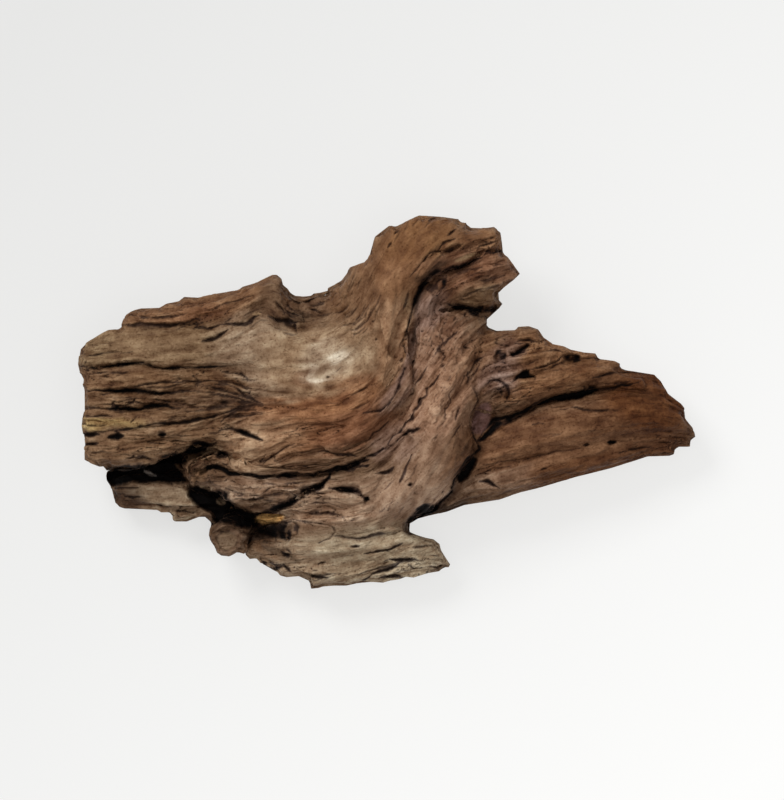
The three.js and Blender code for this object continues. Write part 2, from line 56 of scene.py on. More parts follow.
# ---- noise and small helpers
def hashed(ix, iy, iz, seed):
    h = ix * 374761393 + iy * 668265263 + iz * 2147483647 + seed * 1274126177
    h = (h ^ (h >> 13)) * 1274126177
    h = h ^ (h >> 16)
    return (h & 0xFFFF).astype(np.float32) / 65535.0


def noise3(x, y, z, seed):
    # smooth value noise from -1 to 1 with a cell of 1
    fx = np.floor(x)
    fy = np.floor(y)
    fz = np.floor(z)
    ix = fx.astype(np.int64)
    iy = fy.astype(np.int64)
    iz = fz.astype(np.int64)
    tx = (x - fx).astype(np.float32)
    ty = (y - fy).astype(np.float32)
    tz = (z - fz).astype(np.float32)
    tx = tx * tx * (3 - 2 * tx)
    ty = ty * ty * (3 - 2 * ty)
    tz = tz * tz * (3 - 2 * tz)
    total = np.zeros(len(tx), np.float32)
    for dx in (0, 1):
        wx = tx if dx else 1 - tx
        for dy in (0, 1):
            wy = ty if dy else 1 - ty
            for dz in (0, 1):
                wz = tz if dz else 1 - tz
                total += wx * wy * wz * hashed(ix + dx, iy + dy, iz + dz, seed)
    return total * 2 - 1


def smoothStep(low, high, value):
    t = np.clip((value - low) / (high - low), 0, 1)
    return t * t * (3 - 2 * t)


def paint(*rgb):
    # a screen colour from 0 to 255 as scene light
    c = np.array(rgb, float) / 255
    return np.where(c <= 0.04045, c / 12.92, ((c + 0.055) / 1.055) ** 2.4)


def bilinear(grid, x, y, cell):
    # reads a grid that starts at the low corner of the drawing area
    gx = (x - skin["xRange"][0]) / cell
    gy = (y - skin["yRange"][0]) / cell
    gx = np.clip(gx, 0, grid.shape[1] - 1.001)
    gy = np.clip(gy, 0, grid.shape[0] - 1.001)
    ix = gx.astype(int)
    iy = gy.astype(int)
    tx = gx - ix
    ty = gy - iy
    low = grid[iy, ix] * (1 - tx) + grid[iy, ix + 1] * tx
    high = grid[iy + 1, ix] * (1 - tx) + grid[iy + 1, ix + 1] * tx
    return low * (1 - ty) + high * ty


def blurGrid(grid, rounds):
    for _ in range(rounds):
        padded = np.pad(grid, 1, mode="edge")
        grid = (padded[:-2, 1:-1] + padded[2:, 1:-1] + padded[1:-1, :-2]
                + padded[1:-1, 2:] + 2 * padded[1:-1, 1:-1]) / 6
    return grid


# ---- the solids become one closed skin
def fusedSkin():
    verts = []
    faces = []
    count = 0
    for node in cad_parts.values():
        bm = bmesh.new()
        bm.from_mesh(node.data)
        bmesh.ops.remove_doubles(bm, verts=bm.verts, dist=1e-6)
        bm.normal_update()
        for v in bm.verts:
            v.co += v.normal * skin["kerf"] * mm
        bm.verts.index_update()
        verts += [tuple(v.co) for v in bm.verts]
        faces += [[v.index + count for v in f.verts] for f in bm.faces]
        count += len(bm.verts)
        bm.free()
    mesh = bpy.data.meshes.new("fused")
    mesh.from_pydata(verts, [], faces)
    obj = bpy.data.objects.new("fused", mesh)
    bpy.context.scene.collection.objects.link(obj)
    remesh = obj.modifiers.new("remesh", "REMESH")
    remesh.mode = "VOXEL"
    remesh.voxel_size = skin["cell"] * mm
    remesh.adaptivity = 0
    graph = bpy.context.evaluated_depsgraph_get()
    made = bpy.data.meshes.new_from_object(obj.evaluated_get(graph))
    bpy.data.objects.remove(obj)
    co = np.empty(len(made.vertices) * 3, np.float32)
    made.vertices.foreach_get("co", co)
    quads = np.empty(len(made.loops), np.int32)
    made.loops.foreach_get("vertex_index", quads)
    sizes = np.empty(len(made.polygons), np.int32)
    made.polygons.foreach_get("loop_total", sizes)
    bpy.data.meshes.remove(made)
    assert (sizes == 4).all()
    return co.reshape(-1, 3).astype(float) / mm, quads.reshape(-1, 4)


def neighbourPairs(quads):
    pairs = np.concatenate([quads[:, [0, 1]], quads[:, [1, 2]], quads[:, [2, 3]], quads[:, [3, 0]]])
    pairs.sort(axis=1)
    keys = pairs[:, 0].astype(np.int64) * (1 << 32) + pairs[:, 1]
    keys = np.unique(keys)
    return (keys >> 32).astype(np.int64), (keys & 0xFFFFFFFF).astype(np.int64)


def spread(values, pairs, degree):
    # the mean of each point's neighbours
    a, b = pairs
    n = len(degree)
    if values.ndim == 1:
        total = np.bincount(a, values[b], n) + np.bincount(b, values[a], n)
        return total / degree
    return np.stack([spread(values[:, k], pairs, degree) for k in range(values.shape[1])], 1)


def faceNormals(co, quads):
    return np.cross(co[quads[:, 2]] - co[quads[:, 0]], co[quads[:, 3]] - co[quads[:, 1]])


def pointNormals(co, quads):
    fn = faceNormals(co, quads)
    out = np.zeros((len(co), 3))
    for axis in range(3):
        for corner in range(4):
            out[:, axis] += np.bincount(quads[:, corner], fn[:, axis], len(co))
    return out / np.maximum(np.linalg.norm(out, axis=1), 1e-9)[:, None]


co, quads = fusedSkin()
pairs = neighbourPairs(quads)
degree = (np.bincount(pairs[0], minlength=len(co)) + np.bincount(pairs[1], minlength=len(co))).astype(float)
print("skin", len(co), "points", len(quads), "faces")
resting = co[:, 2] < 0.9  # the flat contact patches stay flat
for _ in range(skin["smoothing"]):
    moved = co + (spread(co, pairs, degree) - co) * 0.6
    moved[resting, 2] = co[resting, 2]
    co = moved

# ---- the outline seen from above, clockwise from the lower left of the left arm, in millimetres
outline = [
    (-187, -41.5), (-192, -39.5), (-197, -37), (-197, -25), (-198.5, -15), (-198, -10), (-196.5, -5),
    (-196.5, 8), (-197.5, 12), (-197, 17), (-200, 20), (-201, 25), (-200.5, 30), (-199.5, 35), (-195, 39.5),
    (-190, 42.5), (-185, 45.5), (-181, 47.5), (-175, 48), (-172.5, 49.5), (-172.5, 52), (-170, 57),
    (-167, 59), (-164.6, 60.3), (-160, 61.5), (-148, 61.8), (-143.4, 64.6), (-135.5, 66.2), (-132, 69),
    (-123, 68.5), (-112, 71), (-97, 73.4), (-94.6, 75.6), (-85, 78.5), (-80, 81), (-75, 83.5), (-72, 83.5),
    (-69, 81), (-68, 77), (-65, 74.5), (-63, 71.5), (-60, 70), (-55, 69.5), (-50, 70), (-48, 71.5),
    (-44, 72), (-42, 70.5), (-39.5, 71), (-39, 75), (-35, 77), (-30, 80), (-27, 84), (-24.4, 88),
    (-14.7, 91.4), (-11.7, 95.9), (-8.3, 107.8), (1, 114.9), (5.5, 114.5), (20.4, 121.6), (36.8, 120.8),
    (45.8, 119.4), (46.5, 117.1), (51, 116.8), (52.5, 113.8), (63.7, 113.4), (68.9, 114.1), (73.4, 110.8),
    (74.5, 104.1), (75.2, 96.6), (77.9, 95.1), (86.1, 83.9), (82.4, 80.2), (75.6, 74.9), (70.4, 69.7),
    (74.9, 64.5), (72.6, 61.5), (64.4, 54.1), (64.7, 49.6), (70.8, 47), (83, 47.4), (84.7, 49.6),
    (91.7, 50), (97.8, 47.8), (101.3, 42.6), (107.5, 38.3), (114.6, 36.9), (118.9, 34.8), (127.3, 33),
    (135.1, 32.3), (137.2, 28.8), (147.7, 27.4), (151.3, 25.6), (150.9, 23.1), (155.5, 21.4),
    (173.8, 18.6), (178, 14.3), (183, 5.9), (191.4, -0.5), (193.6, -3.3), (194.3, -10.3), (199.2, -16),
    (201, -22), (197.8, -24.4), (197.4, -28.7), (187.9, -28.7), (186.9, -33.6), (183.7, -34.6),
    (169.6, -35), (161.1, -37.8), (144.9, -42.8), (122.4, -48.4), (99.1, -55.4), (86.5, -58.4),
    (72.5, -63.1), (60, -65), (49.9, -66.6), (38.6, -71), (25.5, -74), (20, -75.5), (16, -78), (12, -80),
    (9, -80.5), (12, -82), (15, -84.5), (20, -86.5), (25, -88), (30, -89), (34, -92), (35, -96),
    (38, -101), (41, -105.5), (40, -107.5), (34.5, -107.5), (34, -110), (25, -111.5), (17, -114),
    (12, -113.5), (8, -115), (2, -116), (-3, -117.5), (-10, -117), (-20, -118), (-27, -119.5),
    (-35, -119.5), (-42, -120), (-45, -121), (-50, -121.5), (-51, -117), (-52, -112.5), (-60, -113.5),
    (-66, -114), (-70, -113), (-72, -110.5), (-75, -109), (-80, -106), (-83, -104.5), (-86, -101.5),
    (-90, -102), (-93, -99), (-95, -95.5), (-100, -98.5), (-103, -100), (-108, -99.5), (-111, -97.5),
    (-113, -93), (-115.5, -89.5), (-116.5, -86), (-116, -82), (-115.5, -79), (-115, -76), (-117, -74.5),
    (-123, -74.5), (-127, -76), (-131, -77.5), (-139, -77.5), (-140.5, -76), (-140.5, -71.5),
    (-148, -71.5), (-150, -70), (-160, -69.5), (-172, -69), (-175, -68), (-178, -65), (-179, -62),
    (-180, -58), (-181, -54.5), (-184, -50), (-184, -46), (-181, -41),
]


def emptyDrawing():
    cell = skin["drawCell"]
    cols = int((skin["xRange"][1] - skin["xRange"][0]) / cell) + 1
    rows = int((skin["yRange"][1] - skin["yRange"][0]) / cell) + 1
    return np.zeros((rows, cols))


def drawingPlaces():
    cell = skin["drawCell"]
    rows, cols = emptyDrawing().shape
    return np.meshgrid(skin["xRange"][0] + cell * np.arange(cols), skin["yRange"][0] + cell * np.arange(rows))


def inside(x, y, corners):
    found = np.zeros(x.shape, bool)
    for (ax, ay), (bx, by) in zip(corners, corners[1:] + corners[:1]):
        if ay == by:
            continue
        crosses = (ay > y) != (by > y)
        at = ax + (y - ay) / (by - ay) * (bx - ax)
        found ^= crosses & (x < at)
    return found


def window(a, b, reach):
    # the part of the drawing grid around one stretch
    cell = skin["drawCell"]
    rows, cols = emptyDrawing().shape
    x0 = int((min(a[0], b[0]) - reach - skin["xRange"][0]) / cell)
    x1 = int((max(a[0], b[0]) + reach - skin["xRange"][0]) / cell) + 1
    y0 = int((min(a[1], b[1]) - reach - skin["yRange"][0]) / cell)
    y1 = int((max(a[1], b[1]) + reach - skin["yRange"][0]) / cell) + 1
    return slice(max(y0, 0), min(y1, rows)), slice(max(x0, 0), min(x1, cols))


def outlineDistance():
    gx, gy = drawingPlaces()
    away = np.full(gx.shape, 12.0)
    for a, b in zip(outline, outline[1:] + outline[:1]):
        part = window(a, b, 12)
        wx = gx[part] - a[0]
        wy = gy[part] - a[1]
        dx = b[0] - a[0]
        dy = b[1] - a[1]
        t = np.clip((wx * dx + wy * dy) / (dx * dx + dy * dy), 0, 1)
        away[part] = np.minimum(away[part], np.hypot(wx - t * dx, wy - t * dy))
    return np.where(inside(gx, gy, outline), away, -away)


def shadeDistance(points):
    # how far inside the skin's own outline each cell lies
    cell = skin["drawCell"]
    covered = emptyDrawing()
    centre = points[quads].mean(axis=1)
    middles = (points[pairs[0]] + points[pairs[1]]) / 2
    for group in (points, centre, middles):
        ix = ((group[:, 0] - skin["xRange"][0]) / cell + 0.5).astype(int)
        iy = ((group[:, 1] - skin["yRange"][0]) / cell + 0.5).astype(int)
        covered[iy, ix] = 1
    for best in (np.maximum, np.minimum):
        padded = np.pad(covered, 1)
        for dy in range(3):
            for dx in range(3):
                covered = best(covered, padded[dy:dy + covered.shape[0], dx:dx + covered.shape[1]])
    away = np.where(covered > 0, 15.0, 0.0)
    for _ in range(26):
        padded = np.pad(away, 1)
        for dy in range(3):
            for dx in range(3):
                step = cell * math.hypot(dx - 1, dy - 1)
                away = np.minimum(away, padded[dy:dy + away.shape[0], dx:dx + away.shape[1]] + step)
    return away


wantedEdge = outlineDistance()
edgeSlopeY, edgeSlopeX = np.gradient(wantedEdge, skin["drawCell"])


def alongEdgeSlope(points, amount):
    # moves points towards the inside of the outline
    sx = bilinear(edgeSlopeX, points[:, 0], points[:, 1], skin["drawCell"])
    sy = bilinear(edgeSlopeY, points[:, 0], points[:, 1], skin["drawCell"])
    length = np.maximum(np.hypot(sx, sy), 0.5)
    points[:, 0] += amount * sx / length
    points[:, 1] += amount * sy / length


def fitOutline(points):
    ownEdge = shadeDistance(points)
    own = bilinear(ownEdge, points[:, 0], points[:, 1], skin["drawCell"])
    wanted = bilinear(wantedEdge, points[:, 0], points[:, 1], skin["drawCell"])
    alongEdgeSlope(points, np.clip(own - wanted - 1.0, -6, 6) * (1 - smoothStep(1.5, 8, own)))


def trimOutline(points):
    for _ in range(2):
        wanted = bilinear(wantedEdge, points[:, 0], points[:, 1], skin["drawCell"])
        alongEdgeSlope(points, np.maximum(0.1 - wanted, 0))


fitOutline(co)
trimOutline(co)
print("outline fitted")

# ---- direction of the grain, read along the strips: place and angle in degrees
grainGuides = [
    (-190, 30, 2), (-190, 8, 0), (-190, -12, -1), (-190, -30, 0), (-150, 40, 3), (-150, 20, 0),
    (-150, 2, 0), (-150, -18, 5), (-150, -32, 4), (-160, 55, 5), (-130, 60, 10), (-110, 65, 18),
    (-88, 72, 35), (-120, 35, 5), (-120, 20, 0), (-112, 9, -14), (-112, 0, 0), (-115, -8, 14),
    (-100, 8, -28), (-100, -3, 5), (-97, -12, 24), (-88, 0, -8), (-105, 45, 25), (-92, 50, 38),
    (-85, 32, 10), (-70, 30, 5), (-72, 12, 0), (-60, 40, 5), (-50, 48, 12), (-72, 60, -50),
    (-60, 57, -35), (-60, -8, 8), (-42, -6, 4), (-22, 4, 24), (-12, 15, 52), (-6, 30, 74),
    (-2, 50, 86), (2, 70, 88), (5, 88, 80), (12, 105, 62), (28, 113, 45), (42, 112, 35),
    (60, 107, 16), (30, 94, 48), (50, 94, 22), (62, 98, 14), (45, 80, 26), (65, 84, 16),
    (60, 73, 12), (76, 92, 14), (30, 72, 55), (20, 60, 78), (-25, 55, 38), (-18, 62, 55),
    (-32, 48, 20), (-16, 75, 70), (20, 45, 76), (14, 27, 68), (30, 30, 64), (44, 40, 52),
    (58, 46, 36), (36, 12, 62), (20, -5, 60), (46, 4, 60), (30, -20, 62), (42, -30, 66),
    (20, -40, 66), (10, -30, 56), (2, -45, 52), (20, -60, 66), (6, -66, 56), (-6, -72, 42),
    (-5, -20, 40), (-15, -30, 26), (-30, -38, 12), (-52, -40, 4), (4, -10, 54), (-2, 0, 44),
    (-75, -30, 28), (-95, -30, 10), (-85, -15, 12), (-40, -22, 10), (-95, -50, -4), (-72, -53, -2),
    (-50, -50, 6), (-28, -52, 0), (-76, -66, 8), (-50, -68, 12), (-30, -66, -6), (-20, -72, 14),
    (-50, -82, -14), (-40, -76, -2), (-60, -100, 8), (-35, -95, 4), (-10, -92, 8), (10, -90, 12),
    (20, -98, 4), (0, -105, 12), (-20, -112, 18), (-45, -116, 4), (10, -110, 12), (36, -103, -20),
    (-160, -58, -2), (-135, -60, 0), (-165, -68, -5), (-135, -74, 0), (-125, -40, 20),
    (70, 40, 18), (90, 42, 8), (110, 30, 10), (130, 27, 6), (150, 20, 0), (175, 10, -16),
    (190, -8, -32), (84, 24, 12), (100, 10, 10), (80, -4, 16), (120, 12, 12), (140, 15, 5),
    (70, -30, 8), (100, -20, 8), (130, -15, 5), (160, -15, 0), (186, -20, -8), (80, -50, 14),
    (110, -40, 13), (140, -35, 14), (60, -58, 14), (172, -28, 8), (150, 0, 5), (170, 0, -6),
]


def guideField():
    cell = skin["fieldCell"]
    xs = np.arange(skin["xRange"][0], skin["xRange"][1] + cell, cell)
    ys = np.arange(skin["yRange"][0], skin["yRange"][1] + cell, cell)
    gx, gy = np.meshgrid(xs, ys)
    dx = np.zeros_like(gx)
    dy = np.zeros_like(gx)
    for x, y, angle in grainGuides:
        weight = 1 / ((gx - x) ** 2 + (gy - y) ** 2 + 16) ** 1.6
        dx += weight * math.cos(math.radians(angle))
        dy += weight * math.sin(math.radians(angle))
    length = np.hypot(dx, dy) + 1e-12
    return dx / length, dy / length


def alongField(vx, vy):
    # the smooth height whose slope is nearest to the field, in millimetres
    cell = skin["fieldCell"]
    rows, cols = vx.shape
    sx = np.zeros((rows, cols + 1))
    sx[:, 1:-1] = (vx[:, 1:] + vx[:, :-1]) / 2 * cell
    sy = np.zeros((rows + 1, cols))
    sy[1:-1] = (vy[1:] + vy[:-1]) / 2 * cell
    source = sx[:, 1:] - sx[:, :-1] + sy[1:] - sy[:-1]
    mirrored = np.concatenate([source, source[::-1]], 0)
    mirrored = np.concatenate([mirrored, mirrored[:, ::-1]], 1)
    ky = 2 * np.cos(2 * np.pi * np.fft.fftfreq(2 * rows)) - 2
    kx = 2 * np.cos(2 * np.pi * np.fft.fftfreq(2 * cols)) - 2
    scale = ky[:, None] + kx[None, :]
    scale[0, 0] = 1
    solved = np.fft.fft2(mirrored) / scale
    solved[0, 0] = 0
    return np.real(np.fft.ifft2(solved))[:rows, :cols]


flowX, flowY = guideField()
alongGrid = alongField(flowX, flowY)
acrossGrid = alongField(-flowY, flowX)
print("grain field ready")


# ---- upper and lower surface, to know how deep a point lies in the wood
def surfaceGrids():
    cell = skin["fieldCell"]
    rows, cols = flowX.shape
    ix = np.clip(np.round((co[:, 0] - skin["xRange"][0]) / cell).astype(int), 0, cols - 1)
    iy = np.clip(np.round((co[:, 1] - skin["yRange"][0]) / cell).astype(int), 0, rows - 1)
    high = np.full(rows * cols, -1e9)
    low = np.full(rows * cols, 1e9)
    np.maximum.at(high, iy * cols + ix, co[:, 2])
    np.minimum.at(low, iy * cols + ix, co[:, 2])
    out = []
    for values in (high, low):
        grid = values.reshape(rows, cols)
        known = (np.abs(grid) < 1e8).astype(float)
        value = np.where(known > 0, grid, 0)
        far = blurGrid(value, 60) / np.maximum(blurGrid(known, 60), 1e-6)
        near = blurGrid(value, 6) / np.maximum(blurGrid(known, 6), 1e-6)
        share = smoothStep(0.02, 0.4, blurGrid(known, 6))
        out.append(near * share + far * (1 - share))
    return out


topGrid, lowGrid = surfaceGrids()


def depthShare(points):
    top = bilinear(topGrid, points[:, 0], points[:, 1], skin["fieldCell"])
    low = bilinear(lowGrid, points[:, 0], points[:, 1], skin["fieldCell"])
    return np.clip((points[:, 2] - low) / np.maximum(top - low, 8), -0.3, 1.3)


# ---- streaks along the grain: noise averaged along the strips
def streaks(points, share, across, reach, seed):
    steps = 9
    stride = reach / steps
    total = np.zeros(len(points), np.float32)
    weights = 0.0
    layer = share * skin["layers"] / across
    for way in (1, -1):
        px = points[:, 0].copy()
        py = points[:, 1].copy()
        for k in range(steps + 1):
            weight = 0.5 + 0.5 * math.cos(math.pi * k / (steps + 1))
            if k or way == 1:
                total += weight * noise3(px / across, py / across, layer, seed)
                weights += weight * weight
            dx = bilinear(flowX, px, py, skin["fieldCell"])
            dy = bilinear(flowY, px, py, skin["fieldCell"])
            px = px + way * stride * dx
            py = py + way * stride * dy
    return total / math.sqrt(weights) * 1.5


# ---- cracks, ledges and pits: width, depth and path in millimetres
def crack(width, depth, *path):
    return {"width": width, "depth": depth, "path": path}


def ledge(width, depth, soft, *path):
    # a strip's broken edge: the wood on the right hand of the path lies lower
    return {"width": width, "depth": depth, "path": path, "fall": 0.85, "soft": soft}


armCracks = [
    crack(2.4, 7, (-201, 24), (-194, 22.5), (-185, 23), (-175, 24), (-165, 26), (-158, 25.5), (-152, 24),
          (-145, 22.5), (-138, 23), (-127, 23), (-118, 23), (-110, 23.5)),
    crack(2.0, 6, (-199, 8), (-196, 8), (-180, 8), (-160, 8), (-150, 6.5), (-140, 6.5), (-133, 8), (-125, 8)),
    crack(1.2, 3, (-165, 10.5), (-150, 13), (-140, 14), (-128, 14)),
    crack(2.6, 6, (-182, -3.5), (-170, -4), (-160, -4), (-152, -2), (-146, -2), (-134, -4)),
    crack(1.2, 4, (-192, -8), (-178, -8.5)),
    crack(1.8, 5, (-176, -19), (-170, -17), (-160, -15.5), (-150, -13.5), (-140, -13), (-130, -12),
          (-120, -10), (-110, -8.5), (-100, -5), (-92, -1)),
    crack(1.8, 5, (-199, -20.5), (-187, -20.5)),
    crack(3.4, 6, (-181, -22), (-176, -21.5), (-171, -21)),
    crack(1.6, 4, (-199, -27), (-187, -26)),
    crack(2.4, 7, (-148.5, -20.5), (-146, -20.2), (-143.5, -20.5)),
    crack(0.9, 2, (-167, -13), (-161, -8)),
    crack(1.8, 4, (-174, 50), (-160, 51), (-150, 50.2), (-140, 50), (-133, 52), (-123, 54.5)),
    crack(1.2, 2.4, (-160, 55), (-150, 55), (-140, 56), (-130, 58)),
    crack(1.4, 3, (-107, 51), (-98, 51), (-92, 51), (-88, 53), (-85, 56), (-82, 59)),
    crack(1.6, 3, (-120, 39.5), (-113, 41), (-110, 43), (-106, 45), (-103, 47.5)),
    crack(1.3, 3, (-125, 49), (-116, 48), (-108, 51)),
    crack(1.2, 3, (-110, 14), (-100, 11), (-92, 5), (-85, 1), (-80, -1)),
    crack(1.0, 2.5, (-118, 0), (-110, 0), (-95, 1), (-87, 0)),
    crack(1.0, 2.5, (-118, -4), (-110, -3), (-95, -2.5), (-85, -1), (-78, -3.5), (-75, -4)),
    crack(1.2, 3, (-115, 5), (-104, 5), (-95, 2.5), (-86, 0)),
    crack(1.0, 2.5, (-108, -12), (-102, -8), (-95, -4), (-88, -1)),
    crack(1.6, 4, (-107, 20), (-100, 19.5), (-95, 19), (-91, 16), (-90.5, 14)),
    crack(3.0, 6, (-109, -17.5), (-102, -17), (-97, -18), (-92, -20), (-87, -22), (-81, -24)),
    crack(1.8, 3, (-171, -37), (-165, -35), (-158, -35), (-152, -37)),
    crack(1.2, 3, (-199, -14), (-190, -14.5), (-182, -15)),
    crack(1.0, 2, (-196, 30), (-180, 33), (-165, 33)),
]
shelfCracks = [
    crack(2.0, 6, (-104, -46), (-100, -45.2), (-90, -47), (-80, -48), (-74, -47.2), (-71, -48.6), (-66, -46.5),
          (-61, -47.4), (-55, -46), (-48, -47.5), (-44, -44.5), (-37, -44), (-33, -41.5), (-25, -41), (-20, -38)),
    crack(1.4, 4, (-18, -39), (-13, -34), (-8, -33.6), (-3, -29.5), (0, -30), (4, -26)),
    crack(3.2, 7, (-36, -44), (-30, -42.5), (-24, -40.5), (-17, -37.5), (-12, -36.5)),
    crack(1.6, 5, (4, -26), (9, -22), (14, -18), (20, -16.5)),
    crack(4.6, 9, (-37, -45), (-38, -49), (-42, -53), (-47, -55), (-53, -57), (-57, -60), (-63, -64),
          (-68, -67), (-75, -70), (-82, -72), (-88, -73.5)),
    crack(4.2, 9, (-38, -55), (-32, -56), (-25, -57), (-18, -58), (-17, -60), (-13, -62.5)),
    crack(5.0, 9, (-15.4, -62), (-12.4, -62.8)),
    crack(1.2, 3, (-100, -59.5), (-90, -60), (-80, -60.5), (-68, -58)),
    crack(1.6, 3, (-90, -62.5), (-80, -62)),
    crack(2.2, 4, (4, -41), (0, -45), (-4, -45.8), (-8, -45.5)),
    crack(1.2, 2, (-83, -40), (-75, -35), (-68, -30), (-60, -26)),
    crack(1.6, 3, (-42, -31), (-33, -33), (-25, -33.5), (-18, -35)),
    crack(2.2, 4, (-121, -47), (-118, -42), (-112, -41), (-107, -43), (-103, -46)),
    crack(2.6, 5, (-109.5, -34.3), (-106, -33.5), (-102.8, -32.4)),
    crack(1.0, 3, (-62, -76), (-50, -77), (-42, -78), (-35.5, -80), (-34, -83), (-37, -88), (-45, -90.5)),
    crack(1.4, 3, (-70, -72), (-69, -78), (-70, -84)),
    crack(1.0, 2, (-60, -70), (-50, -72), (-40, -71), (-30, -73), (-27, -77)),
    crack(1.0, 2, (-82, -52), (-72, -53), (-60, -51)),
]
footCracks = [
    crack(1.4, 3, (-36, -86.5), (-30, -86), (-20, -88), (-10, -86), (0, -84.5), (8, -84)),
    crack(1.6, 4, (-25.5, -93.5), (-22, -93.2), (-18, -93)),
    crack(1.5, 4, (-15, -98), (-8, -96.5), (0, -96), (5, -94), (10, -91.5)),
    crack(1.8, 5, (-2, -103), (2, -102), (8, -102), (15, -101.5), (20, -103)),
    crack(1.6, 5, (-18, -117), (-10, -112), (-5, -110), (0, -108.5), (5, -106), (9, -103)),
    crack(2.0, 5, (13, -105), (17, -107.5), (23, -107.5)),
    crack(1.6, 4, (-6, -114.5), (-2, -113), (5, -112.5), (11, -114)),
    crack(1.2, 4, (27, -106), (33, -107.5), (38, -107)),
    crack(1.8, 4, (-68, -105), (-65.5, -107.5), (-63, -110)),
    crack(1.8, 5, (-53, -112.5), (-48, -113), (-43, -113.3), (-39, -113.8)),
    crack(1.0, 3, (-45, -105), (-42.5, -104.2), (-40, -104)),
]
bowlCracks = [
    crack(1.4, 5, (-39.3, 16.5), (-37.8, 17.3)),
    crack(0.7, 1.2, (-38, 17), (-33, 20.5), (-30, 23)),
    crack(0.9, 1.6, (-47, 0.5), (-40, 0), (-32, 0)),
    crack(0.8, 1.2, (-28, 4), (-20, 7), (-14, 10), (-12, 12)),
    crack(1.6, 3, (1, 1), (0, -1), (-5, -5), (-10, -6), (-16, -6)),
    crack(1.0, 2, (1, -12), (-5, -17), (-9, -19), (-14, -26)),
    crack(2.0, 4, (-77, 56), (-70, 53.5), (-65, 53), (-59, 52)),
    crack(1.4, 3, (-60, 52), (-60, 49), (-58.5, 45)),
    crack(1.2, 3, (-67, 61), (-62, 58), (-56, 55.5), (-52, 55)),
    crack(1.2, 3, (-65, 70), (-61, 66), (-57, 65), (-52, 66), (-47, 69)),
    crack(1.0, 2.5, (-58, 60), (-50, 61), (-47, 60), (-43, 58)),
    crack(1.4, 3, (-73, 66), (-69, 62), (-66, 57)),
    crack(0.9, 1.6, (-30, 49), (-22, 52), (-16, 58), (-14, 64)),
    crack(0.9, 1.6, (-33, 53), (-25, 56), (-19, 62), (-16, 69)),
    crack(0.9, 1.6, (-28, 46), (-20, 48), (-13, 54), (-10, 61)),
    crack(0.9, 1.4, (-36, 58), (-28, 60), (-23, 66)),
    crack(1.6, 2, (-22.8, 44.2), (-21, 44)),
    crack(1.3, 2, (-9.8, 52), (-8.4, 52.5)),
    crack(1.3, 2, (-7.8, 41), (-6.6, 42)),
]
crownCracks = [
    crack(2.6, 5, (14, 52), (16, 61), (19, 69), (22, 76), (26, 81), (31, 84.5), (38, 86.5), (48, 89),
          (57, 92), (63, 96)),
    crack(1.1, 2.4, (14, 81), (20, 88), (26, 95), (30, 97.8), (34, 97.5), (36.5, 94.5)),
    crack(1.4, 3, (34, 101), (38, 104), (44, 106)),
    crack(1.3, 3, (39, 108), (41, 110.5), (44.5, 112.5)),
    crack(1.4, 2.4, (26.5, 118), (28.5, 119), (31, 119.6)),
    crack(1.2, 2, (4.5, 108.5), (7.5, 111.5)),
    crack(1.2, 2, (0.5, 100.5), (3, 104)),
    crack(1.0, 1.6, (44, 84), (54, 86.5), (62, 87)),
    crack(1.0, 1.6, (57.8, 77.7), (66, 79.5), (74.6, 81.7)),
    crack(1.0, 1.6, (51.4, 70.5), (62, 73.5), (72.2, 76.9)),
    crack(0.9, 1.4, (60, 72), (68, 75), (73, 76)),
    crack(1.0, 1.6, (68.2, 88.9), (71, 89.6), (74.6, 90.1)),
    crack(1.2, 2.4, (58.6, 100.1), (64, 102.4), (71.4, 105)),
    crack(1.3, 2, (10, 60), (12, 66), (14, 73)),
]
valleyCracks = [
    crack(1.8, 3, (21.5, 46), (22.6, 47)),
    crack(1.4, 2, (8, 26), (10, 28.5)),
    crack(1.4, 2, (10.5, 21), (11.5, 23)),
    crack(1.4, 2, (16.5, 26), (17.6, 28)),
    crack(1.8, 3, (35, 23), (37, 25)),
    crack(1.6, 4.4, (34, 18), (33, 17), (30, 13), (26, 9.6), (25, 5), (21.4, 3), (21, -1), (17, -4.6), (16, -10),
          (11, -13.4), (9, -18), (3, -21.4), (0, -27)),
    crack(1.6, 4, (21, -16), (15, -19)),
    crack(1.4, 3, (10.5, 22), (7, 10), (4, 5), (0, -3)),
    crack(1.1, 2.4, (47.3, -1), (45.5, -6), (43.8, -11.3)),
    crack(1.3, 2.4, (51, 21), (52, 17), (52.5, 13)),
    crack(1.8, 4, (14.2, -52.3), (15, -54)),
    crack(2.0, 4, (17.2, -57.6), (18.2, -59.4)),
    crack(1.3, 2.6, (16, -33), (13, -40), (10, -47), (5, -58), (0, -70)),
    crack(1.2, 2.4, (38, 40), (34, 36), (30, 30)),
    crack(1.3, 2.4, (46, 46), (40, 42), (37, 37)),
    crack(1.0, 2.0, (26, 24), (22, 17), (18, 12)),
    crack(1.0, 2.0, (60, 26), (57, 20), (50, 8)),
]
